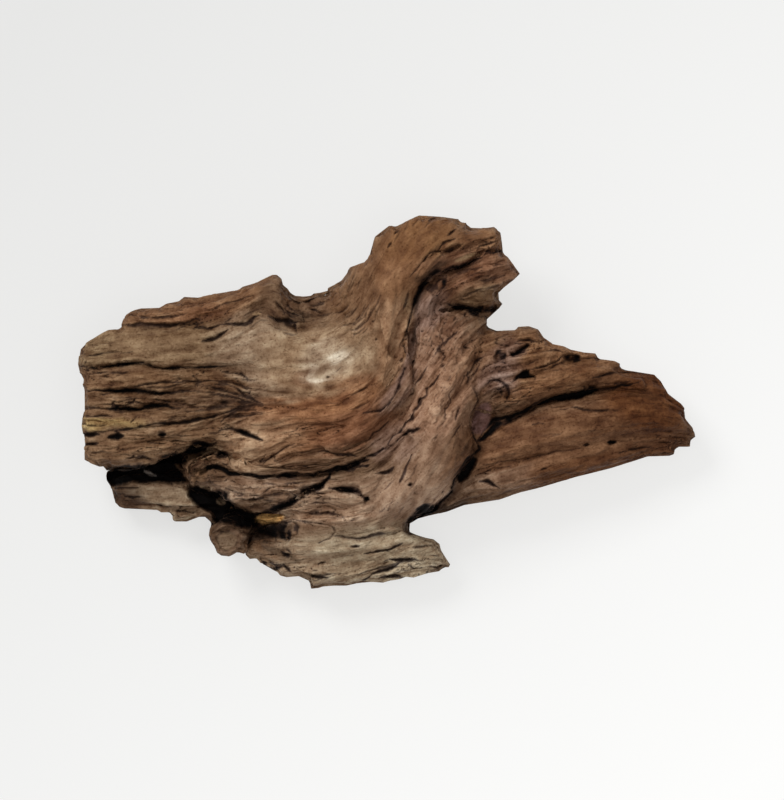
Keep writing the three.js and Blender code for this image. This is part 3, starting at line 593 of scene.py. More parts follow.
rightCracks = [
    crack(2.4, 6, (57.7, -25), (63, -17), (69, -10.5), (80, -9), (90, -4), (96, 0), (104, 3.5), (115, 5),
          (125, 8), (137, 10)),
    crack(1.4, 3, (91.5, 21.5), (101.7, 23.3), (110, 27.5), (113.7, 31)),
    crack(1.0, 1.8, (135.4, 8.3), (140.2, 12.5), (152, 12.5), (158, 14.9)),
    crack(1.2, 2.4, (137, 8), (147, 10), (155, 12), (165, 14)),
    crack(1.2, 3, (56, 25.5), (60, 29), (64, 31)),
    crack(1.4, 3, (64, 12), (66, 14.5), (72, 14.5), (77, 11.5), (78.5, 6), (76, 1)),
    crack(1.2, 3, (69, 9), (73, 9), (74.5, 5)),
    crack(2.2, 5, (59, -51.3), (64.7, -50.7), (69, -53), (72.5, -55.8)),
    crack(1.1, 2.4, (133, 16.5), (137, 17.2), (143, 19), (150, 20)),
    crack(1.2, 2.6, (112, -4), (120, -2.5), (128, -4.5), (136, -4.5), (150, -4.6)),
    crack(2.2, 6, (143.5, -25.4), (146, -25), (148.6, -25)),
    crack(1.6, 3, (127, -27.5), (131, -26.6)),
    crack(1.4, 3, (100, -43.5), (104, -42)),
    crack(2.4, 3, (94, -14), (98, -12.6), (101, -13)),
    crack(1.0, 2, (150, -33), (160, -30), (172, -28.5)),
    crack(1.0, 2, (96, -6), (104, -3.5), (112, -2.5)),
    crack(1.2, 2.4, (82, 40), (92, 41), (101, 38)),
    crack(1.0, 2, (98, 33), (107, 34.5), (116, 33)),
]
stubRing = [(-104.4 + 6.4 * math.cos(0.5 * k), -89.6 + 5.8 * math.sin(0.5 * k)) for k in range(14)]
stubCore = [(-103.6 + 2.9 * math.cos(0.6 * k), -90.2 + 2.5 * math.sin(0.6 * k)) for k in range(10)]
spurCracks = [
    crack(1.3, 2.2, *stubRing),
    crack(0.9, 1.4, *stubCore),
    crack(2.2, 4, (-172, -60.5), (-166, -61.5), (-159, -61)),
    crack(2.2, 4, (-151, -65.5), (-146, -67), (-141, -68)),
    crack(1.6, 4, (-143, -71), (-133, -70.8), (-124, -71)),
    crack(1.4, 3, (-178, -55), (-168, -56), (-158, -54.5)),
]
ledges = [
    ledge(1.6, 8, 6, (12, -80), (19.4, -68.5), (33.4, -65.6), (41.6, -57.5), (42.5, -49.7), (48.2, -41.8),
          (50.8, -36.6), (60.4, -29.6), (56, -21.4), (53, -13)),
    ledge(0.5, 2.6, 4, (53, -13), (54.6, -6), (58.6, 1), (57.6, 6), (51.6, 13), (53.6, 21), (57, 28.4), (63.4, 31.4)),
    ledge(0.5, 2.0, 4, (33, 44), (36, 40), (34, 34), (37, 30), (35, 26), (38, 21)),
    ledge(0.5, 2.0, 3, (44, 12), (40, 6), (41, 1), (37, -5), (38, -10), (35, -15)),
    ledge(1.6, 6, 5, (57.7, -25), (63, -17), (69, -10.5), (80, -9), (90, -4), (96, 0), (104, 3.5),
          (115, 5), (125, 8), (140, 10), (158, 12)),
    ledge(1.4, 6, 5, (10, 40), (13, 50), (16, 61), (19, 69), (22, 76), (26, 81), (31, 84.5), (38, 86.5),
          (48, 89), (57, 92), (64, 96), (74, 99)),
    ledge(1.4, 5, 5, (-104, -46), (-90, -47), (-74, -48), (-62, -45.5), (-48, -46.5), (-37, -43),
          (-25, -40), (-15, -35), (-5, -31), (4, -26)),
    ledge(1.2, 3, 4, (-89, -73), (-75, -70), (-63, -64), (-53, -57), (-42, -53), (-37, -46)),
    ledge(1.2, 3, 4, (-38, -55), (-28, -56.5), (-18, -58), (-12, -63)),
    ledge(1.0, 3, 4, (-200, 24), (-185, 23), (-165, 26), (-145, 22.5), (-118, 23), (-104, 23.5)),
    ledge(1.0, 2.4, 4, (-198, 8), (-170, 8), (-150, 6.5), (-128, 8), (-108, 6), (-92, 2)),
    ledge(1.0, 2.4, 4, (-198, -3), (-170, -4), (-150, -2), (-128, -4)),
    ledge(1.0, 2.6, 4, (-197, -20), (-170, -17), (-145, -13.2), (-120, -10), (-100, -5), (-90, -1)),
    ledge(1.2, 4, 4, (-174, 50), (-150, 50.2), (-133, 52), (-120, 55)),
    ledge(1.2, 3, 4, (39, 64), (52, 61), (62, 60.5), (69, 60)),
    ledge(1.2, 3, 5, (-36, -86), (-20, -88), (-5, -85), (10, -84)),
    ledge(1.2, 3, 4, (95, 20), (105, 22), (111, 26), (124, 29), (136, 29)),
    ledge(1.0, 2, 4, (133, 16.5), (150, 20), (166, 19)),
    ledge(0.5, 1.2, 4, (62, -40), (84, -37), (108, -32), (132, -29)),
    ledge(1.0, 2, 4, (-112, 62), (-98, 66), (-86, 70)),
    ledge(1.0, 2.4, 3, (-110, -54), (-90, -60), (-72, -60), (-58, -57)),
    ledge(1.0, 2, 3, (52, 76), (64, 80), (76, 83)),
    ledge(1.0, 2, 3, (-22, -112), (-5, -108), (10, -103), (24, -103)),
]
allCracks = (ledges + armCracks + shelfCracks + footCracks + bowlCracks + crownCracks + valleyCracks
             + rightCracks + spurCracks)


def warpedGrid():
    # the drawing grid's own coordinates, bent a little so that no drawn line is quite even
    gx, gy = drawingPlaces()
    flatX = gx.ravel()
    flatY = gy.ravel()
    none = np.zeros(gx.size)
    wx = noise3(flatX / 4.6, flatY / 4.6, none, 11) * 0.5 + noise3(flatX / 1.6, flatY / 1.6, none, 12) * 0.2
    wy = noise3(flatX / 4.6, flatY / 4.6, none, 13) * 0.6 + noise3(flatX / 1.6, flatY / 1.6, none, 14) * 0.25
    even = noise3(flatX / 3.4, flatY / 2.2, none, 15)
    shape = gx.shape
    even = 1 + 0.45 * even + 0.8 * noise3(flatX / 9.0, flatY / 6.0, none, 16)
    return gx + wx.reshape(shape), gy + wy.reshape(shape), np.clip(even, 0.12, 2.0).reshape(shape)


def drawCrack(depthGrid, markGrid, c, bentX, bentY, unevenness):
    # a sharp upper lip, and a slope that comes up slowly on the right hand of the path
    path = np.array(c["path"], float)
    lengths = np.hypot(*np.diff(path, axis=0).T)
    total = lengths.sum()
    done = 0.0
    fall = c.get("fall", 0.3)
    reach = max(c["width"] * 1.6 + 1.5, c.get("soft", c["width"] * 1.3) * 3)
    for k in range(len(path) - 1):
        a = path[k]
        b = path[k + 1]
        part = window(a, b, reach)
        wx = bentX[part] - a[0]
        wy = bentY[part] - a[1]
        d = b - a
        t = np.clip((wx * d[0] + wy * d[1]) / max(d @ d, 1e-9), 0, 1)
        away = np.hypot(wx - t * d[0], wy - t * d[1])
        side = (d[0] * wy - d[1] * wx) / max(lengths[k], 1e-9)
        place = (done + t * lengths[k]) / total
        taper = np.minimum(1, 0.2 + 2.6 * np.minimum(place, 1 - place))
        half = c["width"] * 0.56 * taper * unevenness[part]
        share = np.clip(1 - away / (half + 0.35), 0, 1)
        openShare = np.clip(0.35 + 0.65 * unevenness[part], 0, 1)
        below = smoothStep(0.2, -0.6, side) * np.exp(-away / c.get("soft", c["width"] * 1.3)) * taper
        sunk = np.maximum(c["depth"] * taper * openShare * share ** 0.7, c["depth"] * fall * below)
        depthGrid[part] = np.maximum(depthGrid[part], sunk)
        shade = smoothStep(0.0, 0.6, share) * min(1, 0.26 + c["depth"] / 8.5) * openShare
        shade = np.maximum(shade, below * min(0.5, c["depth"] * fall * 0.14))
        markGrid[part] = np.maximum(markGrid[part], shade)
        done += lengths[k]


bentX, bentY, unevenness = warpedGrid()
frontDepth = emptyDrawing()
frontMark = emptyDrawing()
for c in allCracks:
    drawCrack(frontDepth, frontMark, c, bentX, bentY, unevenness)
print("drawn", len(allCracks), "cracks on the front")

# ---- hollows cut into the wood and painted as shadow, black, or patchy where the floor still shows: depth in millimetres and outline
faint = "rough floor"  # a hollow whose floor still shows
recesses = [
    (9, [(-184, -47), (-181.6, -42.4), (-171, -40.4), (-159, -40.1), (-152.6, -40.1), (-149.8, -38.2),
         (-146, -34), (-141, -32.6), (-134, -31.7), (-129.3, -29.3), (-126.5, -24.7), (-122.8, -23.9),
         (-116.2, -26.1), (-109.7, -25.4), (-112.5, -27), (-117.2, -28.4), (-119, -31.7), (-125.6, -32.6),
         (-130.2, -34), (-131.2, -38.7), (-134, -40.1), (-139.6, -40.5), (-134.9, -44.3), (-131.2, -48.9),
         (-130.7, -51.7), (-134, -52.2), (-148, -51.3), (-158.3, -52.2), (-166.7, -50.8), (-171.3, -52.7),
         (-180.2, -54), (-183.5, -51.7)]),
    (12, [(-130.2, -54.1), (-122.8, -54.4), (-119, -55.9), (-115.3, -56.9), (-108.8, -56.9), (-103.2, -58.3),
          (-103.6, -61.1), (-100.4, -64.8), (-96.6, -68.6), (-91, -70.4), (-86.4, -73.2), (-85, -77),
          (-85.4, -80.7), (-92, -81.6), (-98.5, -80.7), (-106, -78.4), (-112.5, -78.4), (-114.8, -76),
          (-114.4, -72.3), (-120.9, -69), (-124.6, -66.7), (-129.3, -61.1)]),
    (4, faint, [(-86, -80.7), (-76, -79.4), (-70, -78.4), (-65, -76.5), (-61, -77), (-57, -80), (-59, -85), (-64, -89.5),
         (-72, -88), (-78, -86), (-84, -84.5)]),
    (4, faint, [(-84.5, -101.5), (-78, -101.6), (-69.6, -104.6), (-67.7, -106.8), (-73, -110), (-81.7, -105.9)]),
    (2, faint, [(-70, -95.6), (-66, -94.5), (-62.5, -98), (-64.5, -101.5), (-68, -99)]),
    (10, [(12, -79), (14.5, -73), (19, -67.5), (24, -65.6), (31, -65), (34, -66.5), (31, -71), (24, -74), (17, -79.5)]),
    (10, [(44.4, -48.8), (46.8, -44), (49.2, -40.4), (50.4, -36.8), (55.2, -34.4), (58.6, -36.8), (56, -43),
          (51.6, -48.6), (46.6, -51.6)]),
    (7, [(94.5, -2.2), (98, 1.6), (106.5, 4.9), (113.7, 5.6), (122, 7.4), (129.4, 10.4), (134.2, 11.3), (137.6, 8.4),
         (133, 5.6), (124.6, 2.8), (114.9, 1.6), (106, 1.0), (100, -1)]),
    (5, faint, [(57.2, -25), (65.6, -17), (69.2, -11.4), (80, -9), (91, -5), (97, -2), (95, -5), (86, -9.7),
                (78.9, -13.4), (70.4, -18.2), (62, -24.6)]),
    (5, [(79.5, 31.7), (86.1, 35.3), (90.9, 38.6), (92.9, 37.8), (88.5, 34), (81.3, 29.7)]),
    (5, [(80.7, 12.8), (83.4, 17.3), (88, 21), (91.8, 21.7), (91.4, 19), (96.6, 16.7), (89.7, 15.9), (84, 15.4)]),
    (4, faint, [(113.5, 31), (117.3, 33), (124.6, 31.3), (126, 27.5), (121, 25.5), (115.3, 27.3)]),
    (3, faint, [(69, 30), (71, 34), (75.4, 34.6), (77.6, 31), (75, 27), (70.6, 26.6)]),
    (4, faint, [(77, 10), (79.4, 7), (79, 3), (76.4, 2.6), (76.6, 6)]),
    (6, [(39.3, 65.3), (46.6, 63.9), (54.6, 63), (62.4, 62.6), (61, 59), (57.4, 56.8), (54.4, 57.2), (50.6, 60),
         (44.6, 59.8), (42.5, 61.6)]),
    (4, faint, [(60, 62.8), (66, 62), (71, 64), (72, 60), (65, 54.8), (59.4, 54.4), (57, 56.6), (60.6, 58.6)]),
    (3, faint, [(61.4, 96.6), (65, 99.3), (70, 99.9), (75.4, 98.6), (74, 97.6), (68, 97.4)]),
    (4, faint, [(36, 96.6), (40.6, 100.6), (46.4, 102.8), (47.6, 101.4), (43, 97.8), (38, 95.2)]),
    (3, faint, [(25, 80), (31, 82.6), (39, 82.4), (38, 77), (35, 72), (30, 69.6), (25.6, 72), (22.6, 75)]),
    (4, [(-122, -47.5), (-120.6, -42.4), (-116.2, -40), (-110.6, -39.6), (-106, -41.6), (-103, -44.2), (-96.6, -45),
         (-92, -46.6), (-96.6, -47.4), (-103, -47), (-107, -44.6), (-111, -43), (-115.5, -43.2), (-118.4, -45)]),
    (5, [(-111.4, -34.6), (-109.5, -31.4), (-105.5, -31), (-103, -33.6), (-104.6, -35.6), (-108.5, -35.8)]),
    (3, faint, [(-36, -44.8), (-31, -41.4), (-22, -40.4), (-11, -39.4), (-12, -41), (-20, -42.2), (-23, -44.6), (-28, -43.6)]),
    (2, faint, [(-6.6, -45.2), (-1, -43.4), (4.4, -41.6), (2.6, -44.4), (-2, -46)]),
    (3, [(-183, -3.4), (-176, -2), (-168, -2.4), (-160, -3), (-152, -1.6), (-156, -4.4), (-166, -5.6), (-176, -5.4)]),
    (3, [(-183, -22.4), (-178, -20.6), (-172, -20), (-170, -22), (-175, -23.6)]),
    (3, [(-149, -20.6), (-146, -18.8), (-143, -20), (-145, -22)]),
]
recessDepth = emptyDrawing()
recessMark = emptyDrawing()
faintDrawing = emptyDrawing()
for depth, *floor, shape in recesses:
    area = inside(bentX, bentY, shape)
    recessDepth = np.where(area, np.maximum(recessDepth, depth), recessDepth)
    if floor:
        faintDrawing = np.where(area, 1.0, faintDrawing)
    else:
        recessMark = np.where(area, 1.0, recessMark)
frontDepth = np.maximum(frontDepth, blurGrid(recessDepth, 3))
recessMark = blurGrid(recessMark, 1)
faintDrawing = blurGrid(faintDrawing, 2)
frontMark = np.maximum(frontMark, recessMark)

# Seeded cracks that follow the grain: how many, x and y range, length, width and depth.
backCracks = [(95, (-195, 195), (-115, 115), (14.0, 60.0), (1.0, 3.0), (2.0, 5.5))]
fineCracks = [
    (46, (-200, -95), (-12, 20), (8, 34), (0.6, 1.1), (0.9, 2.0)), (34, (-132, -88), (-8, 18), (8, 22), (0.5, 1.0), (0.9, 2.0)),
    (14, (-200, -110), (-34, -14), (6, 18), (0.5, 0.9), (0.6, 1.4)), (12, (-175, -80), (46, 66), (6, 18), (0.5, 0.9), (0.6, 1.4)),
    (24, (-76, -42), (44, 66), (5, 14), (0.6, 1.2), (0.8, 2.0)), (16, (-36, -6), (40, 72), (8, 20), (0.5, 0.9), (0.6, 1.3)),
    (10, (30, 82), (66, 98), (8, 22), (0.5, 0.9), (0.7, 1.5)), (8, (0, 60), (94, 118), (5, 14), (0.5, 0.9), (0.6, 1.2)),
    (14, (60, 170), (4, 42), (8, 26), (0.5, 1.0), (0.7, 1.6)), (24, (62, 196), (-50, 6), (8, 26), (0.4, 0.8), (0.4, 1.1)),
    (16, (-124, -40), (-66, -48), (6, 20), (0.6, 1.2), (0.8, 2.0)), (14, (-60, 20), (-80, -50), (6, 20), (0.5, 0.9), (0.6, 1.3)),
    (10, (-80, 36), (-118, -86), (6, 18), (0.5, 1.0), (0.7, 1.6)), (10, (4, 58), (-30, 50), (6, 16), (0.5, 0.9), (0.6, 1.4)),
    (14, (-80, 4), (-34, -4), (6, 20), (0.5, 0.9), (0.6, 1.2)), (4, (-176, -126), (-70, -54), (6, 14), (0.5, 0.9), (0.6, 1.2)),
]


def wanderingCracks(kinds, seed):
    rng = np.random.default_rng(seed)
    made = []
    for count, xs, ys, lengths, widths, depths in kinds:
        for _ in range(count):
            x = rng.uniform(*xs)
            y = rng.uniform(*ys)
            path = [(x, y)]
            for _ in range(max(2, int(rng.uniform(*lengths) / 3))):
                dx = bilinear(flowX, np.array([x]), np.array([y]), skin["fieldCell"])[0]
                dy = bilinear(flowY, np.array([x]), np.array([y]), skin["fieldCell"])[0]
                x += 3 * dx
                y += 3 * dy + rng.uniform(-0.5, 0.5)
                path.append((x, y))
            made.append(crack(rng.uniform(*widths), rng.uniform(*depths), *path))
    return made


for c in wanderingCracks(fineCracks, 17):
    drawCrack(frontDepth, frontMark, c, bentX, bentY, unevenness)
backDepth = emptyDrawing()
backMark = emptyDrawing()
for c in wanderingCracks(backCracks, 7):
    drawCrack(backDepth, backMark, c, bentX, bentY, unevenness)

# ---- raised and sunken places: centre, half sizes, turn in degrees, height, all in millimetres
swells = [
    (13, 38, 6, 20, -6, 2.0), (14, 12, 6, 16, -28, 3.0), (-10, -70, 24, 8, 20, 2.0),
    (-38, 20, 22, 20, 0, -3.0), (-50, 24, 7, 9, 20, 0.8), (28, 88, 10, 6, 45, 2.2),
    (-120, 62, 30, 6, 8, 1.6), (-155, 36, 40, 10, 2, 1.6), (-150, 16, 40, 5, 0, 1.2),
    (-165, 2, 28, 3.5, 0, 1.0), (-170, -13, 26, 3.5, 2, 1.4), (-150, -30, 34, 5, 4, 1.2),
    (-160, 56, 14, 4, 4, 1.5), (55, 97, 16, 2.0, 18, 1.4), (60, 84, 16, 3, 14, 1.0),
    (100, 12, 30, 6, 12, 1.8), (120, -16, 50, 7, 4, 1.2), (60, 74, 16, 3, 12, 1.0),
    (30, -25, 9, 34, -28, 1.6), (8, -52, 6, 24, -24, 1.2), (-50, -74, 9, 4, -8, 2.0),
    (-76, -75, 8, 2.6, 4, 2.2), (61, -10, 6, 9, -14, 2.2), (-112, -52, 10, 4, 10, 1.0),
    (-75, -54, 14, 3, 0, 1.4), (-60, -62, 12, 3, 20, 1.4), (-85, -28, 16, 6, 18, 1.6),
    (72, 28, 6, 5, 0, -2.6), (76, 6, 7, 6, 0, -2.0), (119, 29.5, 5, 3, 0, -2.4),
    (-77, -84, 14, 6, 0, -3.0), (40, 62, 12, 3, 10, -1.5),
]


def swellHeights(x, y):
    total = np.zeros(len(x))
    for cx, cy, rx, ry, turn, height in swells:
        a = math.radians(turn)
        u = ((x - cx) * math.cos(a) + (y - cy) * math.sin(a)) / rx
        v = (-(x - cx) * math.sin(a) + (y - cy) * math.cos(a)) / ry
        total += height * np.exp(-(u * u + v * v) * 1.4)
    return total


# stretches of the top at set heights: half width, then x, y and height
bands = [
    (12, (-106, -45, 66), (-92, -45.5, 70), (-80, -45.5, 74), (-60, -45, 76), (-48, -44.5, 78), (-37, -42, 80.5),
     (-25, -38, 81.5), (-15, -34, 81), (-5, -31, 80.5), (6, -25, 81)),
    (11, (-125, -43, 65), (-116, -44, 67), (-106, -45, 68)),
    (7, (8, 34, 92), (10, 46, 93), (14, 56, 92)),
]


def bandHeights(points):
    # brings the top near a band's line to the band's height
    low = smoothStep(0.15, 0.35, depthShare(points))
    z = points[:, 2].copy()
    for half, *path in bands:
        best = np.full(len(z), np.inf)
        target = np.zeros(len(z))
        for a, b in zip(path, path[1:]):
            dx = b[0] - a[0]
            dy = b[1] - a[1]
            t = np.clip(((points[:, 0] - a[0]) * dx + (points[:, 1] - a[1]) * dy) / (dx * dx + dy * dy), 0, 1)
            gap = np.hypot(points[:, 0] - a[0] - t * dx, points[:, 1] - a[1] - t * dy)
            target = np.where(gap < best, a[2] + t * (b[2] - a[2]), target)
            best = np.minimum(gap, best)
        z += (target - z) * smoothStep(half, half * 0.45, best) * low
    return z


# ---- relief along the grain
relief = {
    "fine": 0.26,  # ribs about a millimetre wide
    "middle": 0.6,  # strips of three millimetres
    "broad": 1.0,  # strips of nine millimetres
    "step": 1.3,  # height of the steps where thin layers have broken off
    "stepShare": 0.75,
    "fissure": 1.7,  # extra depth where the strips part
    "crumb": 0.3,
    "lumps": 0.6,
    "flake": 1.35,  # height of a plate that has flaked off
}
# how rough the wood is: place, half sizes, share of the full relief
smoothPlaces = [
    (8, 88, 20, 22, 0.45), (34, 110, 22, 10, 0.5), (20, -50, 20, 22, 0.6),
    (112, -24, 60, 22, 0.5), (116, 18, 44, 8, 0.5), (160, 20, 26, 12, 0.6), (60, 70, 16, 6, 0.5),
    (-145, -60, 20, 6, 0.4), (-104, -89, 10, 9, 0.5), (61, -10, 6, 11, 0.3),
    (-45, 22, 34, 26, 0.15), (-82, 32, 22, 16, 0.3), (-150, 38, 38, 9, 0.45), (2, 60, 14, 40, 0.4),
    (35, -25, 16, 36, 0.45), (5, -60, 16, 16, 0.4), (-25, -100, 40, 12, 0.6),
]
roughPlaces = [
    (-78, -86, 14, 9, 2.2), (-60, 60, 16, 8, 1.3), (-150, 2, 50, 14, 1.5), (-110, 0, 20, 12, 1.6),
    (-100, -72, 16, 10, 2.0), (72, 20, 12, 16, 1.5), (30, 38, 14, 14, 0.8), (60, 82, 22, 14, 1.2),
    (-60, -58, 30, 14, 1.3),
]


# where thin plates have flaked off: place, half sizes, share
flakyPlaces = [
    (34, 38, 24, 20, 1.0), (34, 2, 16, 26, 0.75), (-80, -58, 34, 9, 0.8), (-58, 56, 17, 9, 0.9), (72, 20, 12, 18, 1.0),
    (-74, -87, 15, 10, 1.3), (-110, 60, 40, 8, 0.5), (10, -10, 12, 18, 0.6), (60, 80, 26, 14, 0.5), (-130, 5, 60, 14, 0.45),
    (110, 30, 30, 10, 0.5), (10, -104, 24, 8, 0.6), (-96, -30, 20, 10, 0.4), (-118, -48, 14, 8, 0.6), (48, -26, 8, 26, 0.6),
    (20, 28, 10, 26, 0.7), (-60, -66, 30, 8, 0.4),
]


def flakiness(x, y):
    share = np.zeros(len(x))
    for cx, cy, rx, ry, value in flakyPlaces:
        share = np.maximum(share, value * np.exp(-(((x - cx) / rx) ** 2 + ((y - cy) / ry) ** 2) * 1.1))
    return share


def roughness(x, y):
    share = np.ones(len(x))
    for cx, cy, rx, ry, value in smoothPlaces + roughPlaces:
        near = np.exp(-(((x - cx) / rx) ** 2 + ((y - cy) / ry) ** 2) * 1.1)
        share = share * (1 - near) + share * value * near
    return share


share = depthShare(co)
co[:, 2] = bandHeights(co)
normals = pointNormals(co, quads)
upward = smoothStep(0.05, 0.45, normals[:, 2]) * smoothStep(0.35, 0.7, share)
topside = smoothStep(-0.2, 0.1, normals[:, 2]) * smoothStep(0.12, 0.3, share)  # also the walls by a drop
downward = smoothStep(0.05, 0.5, -normals[:, 2])


def terraced(values, step, part):
    whole = np.floor(values / step)
    rest = values / step - whole
    return values * (1 - part) + (whole + smoothStep(0.4, 0.6, rest)) * step * part


def lumpNoise(size, seed, points):
    return noise3(points[:, 0] / size, points[:, 1] / size, points[:, 2] / size, seed)


fine = streaks(co, share, 1.25, 7, 21)
middle = streaks(co, share, 3.0, 17, 22)
broad = streaks(co, share, 8.5, 34, 23)
splits = streaks(co, share, 2.2, 13, 24)
lumps = lumpNoise(9, 31, co) * 0.7 + lumpNoise(4, 32, co) * 0.4
crumb = lumpNoise(1.9, 33, co) * 0.6 + lumpNoise(1.1, 34, co) * 0.5
print("streaks ready")
rough = roughness(co[:, 0], co[:, 1])
rough = rough * upward + 1.2 * (1 - upward)
height = relief["middle"] * middle + relief["broad"] * broad + 0.5 * relief["lumps"] * lumps
height = terraced(height + 40 * relief["step"], relief["step"], relief["stepShare"]) - 40 * relief["step"]
height += relief["fine"] * fine
split = np.clip(0.2 - np.abs(splits - 0.15 * lumps), 0, 1) / 0.2
split = split ** 1.5 * smoothStep(0.0, 0.8, -broad + 0.4 * lumps) * smoothStep(0.25, 1.1, rough)
height -= relief["fissure"] * split
height += relief["crumb"] * crumb * (0.5 + 0.5 * smoothStep(0.0, 0.8, -middle))
height = height * rough + relief["lumps"] * lumps * np.sqrt(rough)
plates = 2.4 * lumpNoise(13, 41, co) + 1.5 * lumpNoise(5.2, 42, co) + 0.5 * lumpNoise(1.9, 43, co) + 0.5 * middle
flaky = flakiness(co[:, 0], co[:, 1]) * upward
height += relief["flake"] * terraced(plates, 1.0, 1.0) * flaky
underStep = np.exp(-(((plates - np.floor(plates)) - 0.4) / 0.08) ** 2)
edgeKeep = smoothStep(0.0, 6.0, co[:, 2])  # the underside's contact stays put
co = co + normals * (height * edgeKeep)[:, None]
co[:, 2] += swellHeights(co[:, 0], co[:, 1]) * upward
frontCut = bilinear(frontDepth, co[:, 0], co[:, 1], skin["drawCell"]) * topside
backCut = bilinear(backDepth, co[:, 0], co[:, 1], skin["drawCell"]) * downward * edgeKeep
co[:, 2] -= frontCut
co[:, 2] += backCut
co[:, 2] = np.maximum(co[:, 2], 0.0)
for _ in range(3):  # thin shards that stand out are worn down
    soft = co
    for _ in range(3):
        soft = soft + (spread(soft, pairs, degree) - soft) * 0.7
    proud = smoothStep(0.5, 1.0, np.einsum("ij,ij->i", co - soft, pointNormals(soft, quads)))
    co = co + (soft - co) * proud[:, None]
fitOutline(co)
trimOutline(co)
normals = pointNormals(co, quads)
topside = smoothStep(-0.35, 0.1, normals[:, 2]) * smoothStep(0.12, 0.3, share)
# painted shade, gathered in one mark: in cracks and hollows, patchy on rough hollow floors, under the steps of flaked
# plates, in the underside's cracks and where strips part
mark = bilinear(frontMark, co[:, 0], co[:, 1], skin["drawCell"]) * topside
faintMark = bilinear(faintDrawing, co[:, 0], co[:, 1], skin["drawCell"]) * topside
mark = np.maximum(mark, faintMark * np.clip(0.66 + 0.9 * lumpNoise(3.4, 45, co) + 0.4 * crumb, 0, 1))
mark = np.maximum(mark, 0.5 * np.minimum(flaky, 1) * underStep)
steep = smoothStep(0.5, 0.15, normals[:, 2])
mark = mark * (1 - steep * np.clip(0.3 + 0.9 * lumpNoise(6, 46, co) + 0.4 * crumb, 0, 0.7))
mark = np.maximum(mark, bilinear(backMark, co[:, 0], co[:, 1], skin["drawCell"]) * downward)
mark = np.maximum(mark, 0.75 * split * np.minimum(rough, 1))

# hollows and ridges of the finished surface
soft = co
for _ in range(5):
    soft = soft + (spread(soft, pairs, degree) - soft) * 0.7
hollow = np.einsum("ij,ij->i", soft - co, normals)
for _ in range(18):
    soft = soft + (spread(soft, pairs, degree) - soft) * 0.7
deepHollow = np.einsum("ij,ij->i", soft - co, normals)
print("relief ready, height", round(float(co[:, 2].max()), 1), "mm")

# ---- colours of the wood, with painted highlights and shade among them: place, half sizes, turn, colour, strength
# some tones are painted light and shade: a highlight on the bowl's paler wood, small glare highlights, dark brown shade
# for thin cracks and black shadow for deep cracks and hollows
tones = {
    "armTop": paint(120, 93, 67), "armEnd": paint(124, 99, 72), "ridge": paint(117, 83, 57),
    "rust": paint(120, 80, 54), "strip": paint(117, 86, 60), "dark": paint(64, 43, 31),
    "straw": paint(154, 124, 80), "armLow": paint(129, 98, 71), "bowlLeft": paint(140, 114, 90),
    "bowl": paint(156, 127, 98), "paleWithHighlight": paint(176, 154, 129), "underBowl": paint(139, 94, 62),
    "red": paint(119, 78, 53), "neck": paint(164, 127, 96), "crown": paint(127, 89, 60),
    "crownTop": paint(122, 84, 53), "flap": paint(126, 88, 64), "plum": paint(126, 98, 84),
    "valley": paint(140, 105, 82), "curtain": paint(149, 112, 88), "curtainLow": paint(162, 130, 105),
    "slab": paint(119, 83, 56), "slabLow": paint(113, 77, 52), "tip": paint(84, 45, 18),
    "foot": paint(168, 146, 119), "footLeft": paint(158, 132, 106), "stub": paint(101, 77, 59),
    "spur": paint(146, 122, 97), "shadowBlack": paint(9, 5, 4), "shelf": paint(174, 142, 115),
    "shelfTop": paint(164, 130, 100), "amber": paint(238, 184, 116), "chip": paint(118, 86, 78),
    "paintedGlare": paint(214, 196, 172), "stubTop": paint(122, 99, 77), "slabPale": paint(142, 100, 68), "back": paint(104, 77, 56), "gap": paint(60, 39, 27), "pale": paint(150, 138, 128), "paleStrip": paint(166, 134, 100),
}
